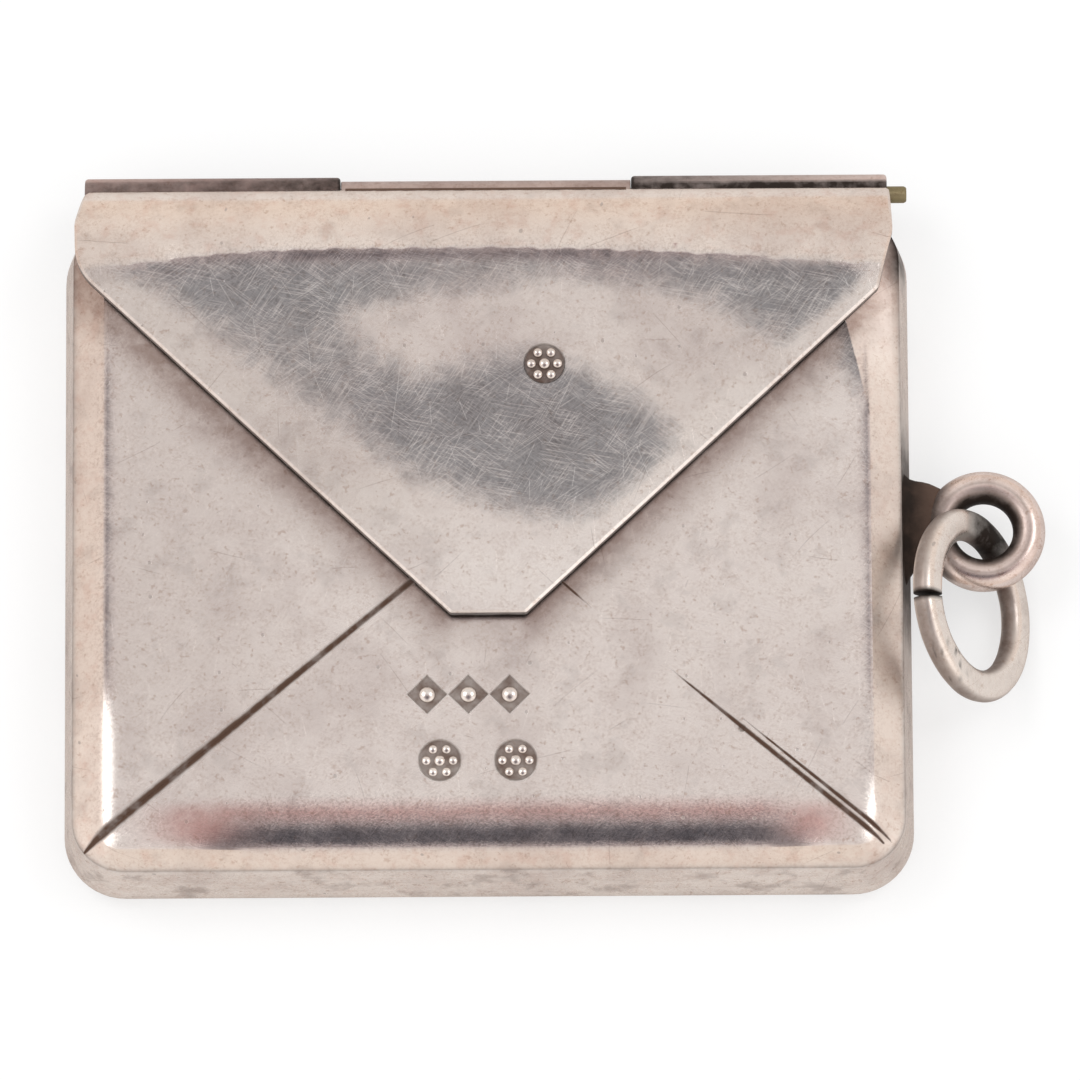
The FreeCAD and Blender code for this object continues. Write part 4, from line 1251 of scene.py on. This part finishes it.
# The rubbed patch is painted dark, as the reflection of the opening in polished metal.
polish = fade(depth_in(flat, RUBBED_EDGE), -RUBBED_SOFT, RUBBED_SOFT)
polish *= 1 - 0.3 * fade(x, -3.0, -5.0) * fade(y, 8.6, 7.1)
polish *= fade(below_roll, 0, 0.12) * fade(inward, 0.2, 0.8)
under_bend = fade(below_roll, 0, 0.1) * fade(y, 9.3, 9.9) * fade(np.abs(x + 0.4), 13.6, 12.1)
polish = most(polish, 0.8 * under_bend)
polish *= 1 - 0.2 * hump(x, 0.5, 5.0) * fade(y, 8.8, 9.3)
# The outer skin is painted a little darker towards both sides, and the lining takes painted shade.
dimmed = 0.25 * fade(x, -2.0, -6.0) + 0.14 * fade(x, 5.0, 8.0)
dimmed *= fade(below_roll, 0, 0.5) * (1 - polish)
on_right = fade(x, 0.5, 1.5)
margin = (0.25 + 0.25 * on_right) * np.exp(-inward / 0.7) * (y < 9)
# A painted glint on the bevel, brighter on the right.
bevel = (0.5 + 0.5 * on_right) * fade(inward, BEVEL + 0.04, BEVEL) * (y < 9)
piece("flap_sheet", points, faces, flap_silver, "flap", ["flap"], {
    "groove": skins(groove), "band": skins(fade(below_roll, 0, -0.12)), "shade": skins(dimmed, 0.2),
    "bare": skins(most(margin, 0.6 * fade(y, 1.8, -1.2), bevel)),
    # Painted shade: the lining turns near-black at its edge, as the shadow under the flap's edge.
    "soot": skins(0.0, np.exp(-inward / 0.1) * (y < 11)),
    "grit": skins(0.6 * hump(below_roll, 0, 0.35)), "polish": skins(polish)}, sharp=25)

# %% [markdown]
# ## Bent wire and drawn tube
# The hinge tubes, the loop and the ring are all one form: a rounded bar carried round a circle, closed or split.
# A torus has only a round section, so one Geometry Nodes tree makes them all. A rectangle with filleted corners
# is the section, Curve to Mesh carries it round, and a little noise takes away the machine-made evenness.

# %% Bent bar tree
def new_tree(name, **sockets):
    """A Geometry Nodes tree with named inputs and one geometry output."""
    tree = bpy.data.node_groups.new(name, "GeometryNodeTree")
    for label, kind in sockets.items():
        tree.interface.new_socket(label, in_out="INPUT", socket_type="NodeSocket" + kind)
    tree.interface.new_socket("Geometry", in_out="OUTPUT", socket_type="NodeSocketGeometry")
    graph = Graph(tree)
    return graph, graph.add("NodeGroupInput").outputs


def end_tree(graph, geometry, material):
    """Ends a tree with real geometry and its material."""
    solid = graph.add("GeometryNodeRealizeInstances", Geometry=geometry).outputs["Geometry"]
    solid = graph.add("GeometryNodeSetMaterial", Geometry=solid, Material=material).outputs["Geometry"]
    graph.put(graph.add("NodeGroupOutput").inputs["Geometry"], solid)
    return graph.tree


def bent_bar_tree():
    """Node tree for a bar with rounded edges, bent round a circle."""
    graph, given = new_tree("bent_bar", Radius="Float", Band="Float", Depth="Float", Corner="Float", Start="Float",
                            Sweep="Float", Closed="Bool", Steps="Int", Uneven="Float", Material="Material")
    open_path = graph.add("GeometryNodeCurveArc", {"mode": "RADIUS"}, Resolution=given["Steps"],
                          Radius=given["Radius"], Start_Angle=given["Start"], Sweep_Angle=given["Sweep"])
    whole_path = graph.add("GeometryNodeCurvePrimitiveCircle", {"mode": "RADIUS"}, Resolution=given["Steps"],
                           Radius=given["Radius"])
    path = graph.add("GeometryNodeSwitch", {"input_type": "GEOMETRY"}, Switch=given["Closed"])
    graph.put(path.inputs["False"], open_path.outputs["Curve"])
    graph.put(path.inputs["True"], whole_path.outputs["Curve"])
    bar = graph.add("GeometryNodeCurvePrimitiveQuadrilateral", {"mode": "RECTANGLE"}, Width=given["Band"],
                    Height=given["Depth"]).outputs["Curve"]
    bar = graph.add("GeometryNodeFilletCurve", {"mode": "POLY"}, Curve=bar, Count=7, Radius=given["Corner"],
                    Limit_Radius=True).outputs["Curve"]
    solid = graph.add("GeometryNodeCurveToMesh", Curve=path.outputs["Output"], Profile_Curve=bar,
                      Fill_Caps=True).outputs["Mesh"]
    where = graph.add("GeometryNodeInputPosition").outputs["Position"]
    noise = graph.noise(where, 700.0, 2.0, output="Color")
    push = graph.vector("SCALE", graph.vector("SUBTRACT", noise, (0.5, 0.5, 0.5)), scale=given["Uneven"])
    solid = graph.add("GeometryNodeSetPosition", Geometry=solid, Offset=push).outputs["Geometry"]
    return end_tree(graph, solid, given["Material"])


BENT_BAR = bent_bar_tree()
print("bent bar tree with", len(BENT_BAR.nodes), "nodes")

# %% [markdown]
# ## Running a node tree
# A Geometry Nodes tree does its work in a modifier. Its inputs are set by the identifier of each socket,
# the result is taken from the finished object as a plain mesh, and the helper object is thrown away.
# The modifier could stay on the piece, but masks are worked out from points, and only a plain mesh has them.

# %% Running a node tree
def grown(name, tree, values, seats=(), sizes=()):
    """Runs a Geometry Nodes tree once, on points if there are any, and keeps the plain mesh."""
    start = bpy.data.meshes.new(name + "_start")
    start.from_pydata([tuple(np.array(seat) * MM) for seat in seats], [], [])
    if len(sizes):
        start.attributes.new("size", "FLOAT", "POINT").data.foreach_set("value", np.array(sizes, np.float32) * MM)
    obj = bpy.data.objects.new(name + "_start", start)
    stage.collection.objects.link(obj)
    modifier = obj.modifiers.new("grow", "NODES")
    modifier.node_group = tree
    for item in tree.interface.items_tree:
        if item.item_type == "SOCKET" and item.in_out == "INPUT" and item.name in values:
            modifier[item.identifier] = values[item.name]
    graph = bpy.context.evaluated_depsgraph_get()
    mesh = bpy.data.meshes.new_from_object(obj.evaluated_get(graph), depsgraph=graph)
    bpy.data.objects.remove(obj)
    bpy.data.meshes.remove(start)
    return mesh


def bent_bar(name, place, material, radius, band, depth, corner, start=0.0, sweep=0.0, steps=96, uneven=0.02):
    """A ring, loop or tube in its place, as a mesh and its points in millimetres. No sweep: a closed ring."""
    lengths = {"Radius": radius, "Band": band, "Depth": depth, "Corner": corner, "Uneven": uneven}
    values = {"Start": math.radians(start), "Sweep": math.radians(sweep), "Closed": sweep == 0.0, "Steps": steps,
              "Material": material}
    mesh = grown(name, BENT_BAR, values | {label: length * MM for label, length in lengths.items()})
    mesh.transform(place)
    return mesh, np.array([v.co for v in mesh.vertices]) / MM


print("inputs of a bent bar", [item.name for item in BENT_BAR.interface.items_tree if item.in_out == "INPUT"])

# %% [markdown]
# ## Hinge
# Three drawn tubes share a brass pin. The two outer tubes are soldered to the back wall of the pan
# and the middle one to the rolled end of the flap, where it is thinner and hardly shows.
# Painted shade darkens the tubes on the side where the roll of the flap keeps the cloth away from them.
# Each is a bent bar with a long section, closed to a ring, so that its bore is real and the pin shows at its end.

# %% Hinge tubes
BORE = 0.33
OUTER_TUBE, MIDDLE_TUBE = 0.72, 0.58
hinge_y, hinge_z = hinge_place[1], hinge_place[2]
TUBES = {  # body, radius, extra length, edge round, painted shade under the roll, its reach, rose, tarnish film
    "hinge_knuckle_left": ("case", OUTER_TUBE, 0.0, 0.12, 0.58, 0.54, 0.6, 0.16),
    "flap_knuckle": ("flap", MIDDLE_TUBE, 0.12, 0.03, 0.2, 0.60, 0.35, 0.15),
    "hinge_knuckle_right": ("case", OUTER_TUBE, 0.0, 0.12, 0.9, 0.43, 0.3, 0.04)}

for node, (body, tube, longer, edge, soot, reach, rose, film) in TUBES.items():
    low, high = box_mm(node)
    place = Matrix.Translation(Vector(((low[0] + high[0]) / 2, hinge_y, hinge_z)) * MM)
    mesh, spot = bent_bar(node, place @ Matrix.Rotation(math.pi / 2, 4, "Y"), hinge_silver, (tube + BORE) / 2,
                          tube - BORE, high[0] - low[0] + longer, edge, steps=48, uneven=0.0)
    inner_end = low[0] if low[0] > 0 else high[0]
    # Painted shade: dark at the inner end of each outer tube, and under the roll of the flap.
    notch = hump(spot[:, 0], inner_end, 0.25) * (body == "case")
    under_roll = soot * fade(spot[:, 1], hinge_y + reach, hinge_y + reach - 0.12)
    finish_piece(node + "_tube", mesh, hinge_silver, body, [node], {
        "soot": most(notch, under_roll), "groove": np.full(len(spot), film), "rose": np.full(len(spot), rose)}, 50)

# %% [markdown]
# ## Hinge solder
# Solder creeps into the gap between tube and wall and sets as a small hollow fillet. The middle tube has a web
# of solder up to the flap. Only a narrow strip of either shows, so a bar with the right section is enough.

# %% Hinge solder
SOLDER_END = 0.12
WEB_END = 0.1


def along_hinge(section, node, gap):
    """A bar along one tube from a section in the upright plane, given anticlockwise as seen from the right."""
    low, high = box_mm(node)
    return loft([np.column_stack([np.full(len(section), x), section]) for x in (low[0] + gap, high[0] - gap)])


def off_wall(gap, z):
    """A point of the section, a little off the back wall of the pan."""
    return BASE_HALF[1] - WALL_LEAN * z + gap, z


fillet = [off_wall(-0.05, 1.62), off_wall(0.02, 1.62), off_wall(0.05, 1.86), (hinge_y - 0.60, hinge_z - 0.40),
          (hinge_y - 0.55, hinge_z), (hinge_y - 0.60, hinge_z + 0.40), off_wall(0.05, 2.96), off_wall(0.02, 3.18),
          off_wall(-0.05, 3.18)]
web = np.array([hinge_y, hinge_z]) + [(-0.36, 0.38), (0.02, 0.50), (0.08, 0.76), (0.07, 0.95), (-0.30, 1.0),
                                      (-0.40, 0.72)]
for node in ("hinge_knuckle_left", "hinge_knuckle_right"):
    points, faces = along_hinge(fillet, node, SOLDER_END)
    piece(node + "_solder", points, faces, solder_dark, "case")
points, faces = along_hinge(web, "flap_knuckle", WEB_END)
piece("flap_tube_solder", points, faces, solder_dark, "flap")

# %% [markdown]
# ## Hinge pin
# The pin is a brass wire with filed ends, and its right end stands out. A cylinder with a bevel would look
# much the same, but a loft through a few rounds gives the filed ends without a modifier.

# %% Hinge pin
PIN_SIDES = 28
PIN_END = ((0.0, 0.4), (0.0, 0.75), (0.03, 0.9), (0.1, 1.0))  # distance from the end, share of the radius
low, high = box_mm("hinge_pin")
pin_radius = (high[2] - low[2]) / 2
stations = [(low[0] + gap, share) for gap, share in PIN_END]
stations += [(high[0] - gap, share) for gap, share in reversed(PIN_END)]
angles = np.arange(PIN_SIDES) * math.tau / PIN_SIDES
points, faces = loft([np.column_stack([np.full(PIN_SIDES, x), hinge_y + pin_radius * share * np.cos(angles),
                                       hinge_z + pin_radius * share * np.sin(angles)]) for x, share in stations])
piece("pin", points, faces, pin_brass, "case", ["hinge_pin"], {"groove": np.full(len(points), 0.3)})

# %% [markdown]
# ## Loop
# A thick wire loop is soldered to the right wall. Its inner side is painted near-black as shade inside the hole,
# and two scored lines run round it. It is the bent bar again, closed, with corners so round that the section
# is nearly a circle.

# %% Loop
LOOP_RADIUS, LOOP_WIRE, LOOP_EDGE = 1.59, 0.565, 0.52
mesh, spot = bent_bar("loop", Matrix.Translation(Vector(loop_place) * MM), loop_silver, LOOP_RADIUS,
                      2 * LOOP_WIRE, 2 * LOOP_WIRE, LOOP_EDGE, steps=88, uneven=0.03)
from_middle = np.hypot(spot[:, 0] - loop_place[0], spot[:, 1] - loop_place[1])
# Painted shade: the inner side is darkened, as inside the hole.
inner_side = fade(from_middle, LOOP_RADIUS, LOOP_RADIUS - 0.5)
root = fade(spot[:, 0], 16.4, 15.6)
scored = most(hump(from_middle, 1.32, 0.06), hump(from_middle, 1.62, 0.05))
finish_piece("loop_wire", mesh, loop_silver, "case", ["suspension_loop"], {
    "groove": most(0.7 * root, 0.6 * inner_side, 0.5 * scored), "shade": 0.6 * inner_side,
    "soot": most(np.minimum(fade(from_middle, 1.40, 1.18), 0.95), 0.7 * root),
    "rose": np.full(len(spot), 0.1)}, 60)

# %% [markdown]
# ## Loop solder
# The solder spread far up the wall and round the root of the loop, and it is nearly black. It is lofted from
# flattened rounds that shrink away from the wall. Metaballs would flow as well, but their edge is hard to place.

# %% Loop solder
LOOP_SOLDER = (  # distance from the wall, reach up, reach down, half thickness
    (-0.12, 2.22, 1.98, 0.72), (0.03, 2.08, 1.86, 0.66), (0.16, 1.92, 1.62, 0.60), (0.36, 1.78, 1.36, 0.55),
    (0.6, 1.70, 1.16, 0.52), (0.85, 1.66, 1.05, 0.50), (1.08, 1.62, 0.9, 0.46), (1.3, 1.55, 0.7, 0.36))
SOLDER_SIDES = 56


def fuller(wave):
    """A sine or cosine that keeps nearer to its ends, for a fuller round."""
    return np.sign(wave) * np.abs(wave) ** 0.8


wall_x = BASE_HALF[0] - WALL_LEAN * loop_place[2]
angles = np.arange(SOLDER_SIDES) * math.tau / SOLDER_SIDES
rings = []
for gap, upper, lower, tall in LOOP_SOLDER:
    x = wall_x + gap
    wave = 1 + 0.04 * np.sin(3 * angles + 5 * x)
    wide = np.where(np.cos(angles) > 0, upper, lower)
    rings.append(np.column_stack([x - 0.02 * np.sin(angles),
                                  loop_place[1] + 0.05 + wide * wave * fuller(np.cos(angles)),
                                  loop_place[2] + tall * wave * fuller(np.sin(angles))]))
points, faces = loft(rings)
piece("loop_solder", points, faces, solder_dark, "case", masks={
    "soot": np.clip(1.0 - 0.75 * (points[:, 0] - wall_x), 0.1, 0.9)}, sharp=70)

# %% [markdown]
# ## Ring
# The ring that hangs in the loop is a heavier split ring, hammered a little flat, with its cut ends at the wall.
# It comes from the same tree, this time as an open arc. Its inner and outer sides are darker, and dirt sits in
# the cut and in a patch of pits that are drawn with a fixed seed. Painted shade darkens it where it passes
# through the loop.

# %% Ring
RING_BAND, RING_DEPTH, RING_CORNER = 1.12, 0.84, 0.40
RING_SPLIT, SPLIT_TURN = 2.6, 184.0
PIT_SEED, PIT_SHARE, PIT_TURN = 7, 0.16, 232

eye = [m for m in frame["record"]["mounts"] if m["name"] == "ring_eye"][0]
ring_axis = Vector(eye["axis"])
ring_radius = eye["dims"]["r_mm"] + RING_BAND / 2
lean = (Matrix.Rotation(math.atan2(ring_axis.y, ring_axis.x), 4, "Z")
        @ Matrix.Rotation(math.acos(ring_axis.z), 4, "Y"))
ring_place = Matrix.Translation(Vector(eye["pos_m"])) @ lean
mesh, spot = bent_bar("ring", ring_place, ring_silver, ring_radius, RING_BAND, RING_DEPTH, RING_CORNER,
                      SPLIT_TURN + RING_SPLIT / 2, 360 - RING_SPLIT, 110, 0.05)
local = np.array([ring_place.inverted() @ v.co for v in mesh.vertices]) / MM
from_middle = np.hypot(local[:, 0], local[:, 1])
around = np.degrees(np.arctan2(local[:, 1], local[:, 0])) % 360
from_split = np.abs((around - SPLIT_TURN + 180) % 360 - 180)
inner_side = fade(from_middle, ring_radius - 0.36, ring_radius - 0.56)
outer_side = fade(from_middle, ring_radius + 0.42, ring_radius + 0.56)
from_loop = np.hypot(spot[:, 0] - loop_place[0], spot[:, 1] - loop_place[1])
# Painted shade where the ring passes through the loop.
shade_in_loop = 0.9 * hump(from_loop, 0, 1.2, 6) * fade(spot[:, 0], 16.8, 17.15)
pits = np.random.default_rng(PIT_SEED).random(len(local)) < PIT_SHARE
pits = pits * hump(around, PIT_TURN, 14) * (local[:, 2] > 0)
finish_piece("ring_wire", mesh, ring_silver, "ring", ["jump_ring"], {
    "groove": most(0.75 * inner_side, 0.55 * outer_side), "shade": 0.6 * most(inner_side, outer_side),
    "soot": most(0.9 * pits, fade(from_split, 2.2, 1.6), shade_in_loop)}, 50)

# %% [markdown]
# ## Beads in the ornament
# A lozenge holds a single drop, and a round holds a ring of six grains about a centre. A Geometry Nodes tree sets
# a flattened sphere on every seat, and each seat carries the size of its bead as an attribute.
# Copies of one ball would do for so few beads, but the tree needs only a list of places and joins them as well.

# %% Beads
DROP_SIZE, CENTRE_SIZE, GRAIN_SIZE = 0.30, 0.20, 0.17
GRAINS, GRAIN_CIRCLE = 6, 0.62
BEAD_SINK, BEAD_FLATNESS = 0.02, 0.5


def bead_tree():
    """Node tree that sets one flat bead on every point."""
    graph, given = new_tree("beads", Geometry="Geometry", Flatness="Float", Material="Material")
    ball = graph.add("GeometryNodeMeshUVSphere", Segments=20, Rings=12, Radius=1.0).outputs["Mesh"]
    size = graph.add("GeometryNodeInputNamedAttribute", {"data_type": "FLOAT"}, Name="size").outputs["Attribute"]
    scale = graph.add("ShaderNodeCombineXYZ", X=size, Y=size, Z=graph.times(size, given["Flatness"])).outputs[0]
    placed = graph.add("GeometryNodeInstanceOnPoints", Points=given["Geometry"], Instance=ball,
                       Scale=scale).outputs["Instances"]
    return end_tree(graph, placed, given["Material"])


def bead_seats(marks, top):
    """Seats and sizes: a drop in a lozenge, a centre and a ring of grains in a round."""
    seats, sizes = [], []
    for (x, y), sides, radius, depth in marks:
        level = top - depth - BEAD_SINK
        seats.append((x, y, level))
        sizes.append(DROP_SIZE if sides == LOZENGE else CENTRE_SIZE)
        for angle in np.arange(0 if sides == LOZENGE else GRAINS) * math.tau / GRAINS:
            seats.append((x + GRAIN_CIRCLE * radius * math.cos(angle), y + GRAIN_CIRCLE * radius * math.sin(angle),
                          level))
            sizes.append(GRAIN_SIZE)
    return seats, sizes


BEADS = bead_tree()
for name, marks, top, material, body, slot in (
        ("front_beads", ORNAMENT, FRONT, case_silver, "case", "case_silver"),
        ("flap_beads", [FLAP_MARK], FLAP_TOP - 0.02, flap_silver, "flap", "flap_silver")):
    seats, sizes = bead_seats(marks, top)
    mesh = grown(name, BEADS, {"Flatness": BEAD_FLATNESS, "Material": material}, seats, sizes)
    finish_piece(name, mesh, material, body)

# %% [markdown]
# ## Finish
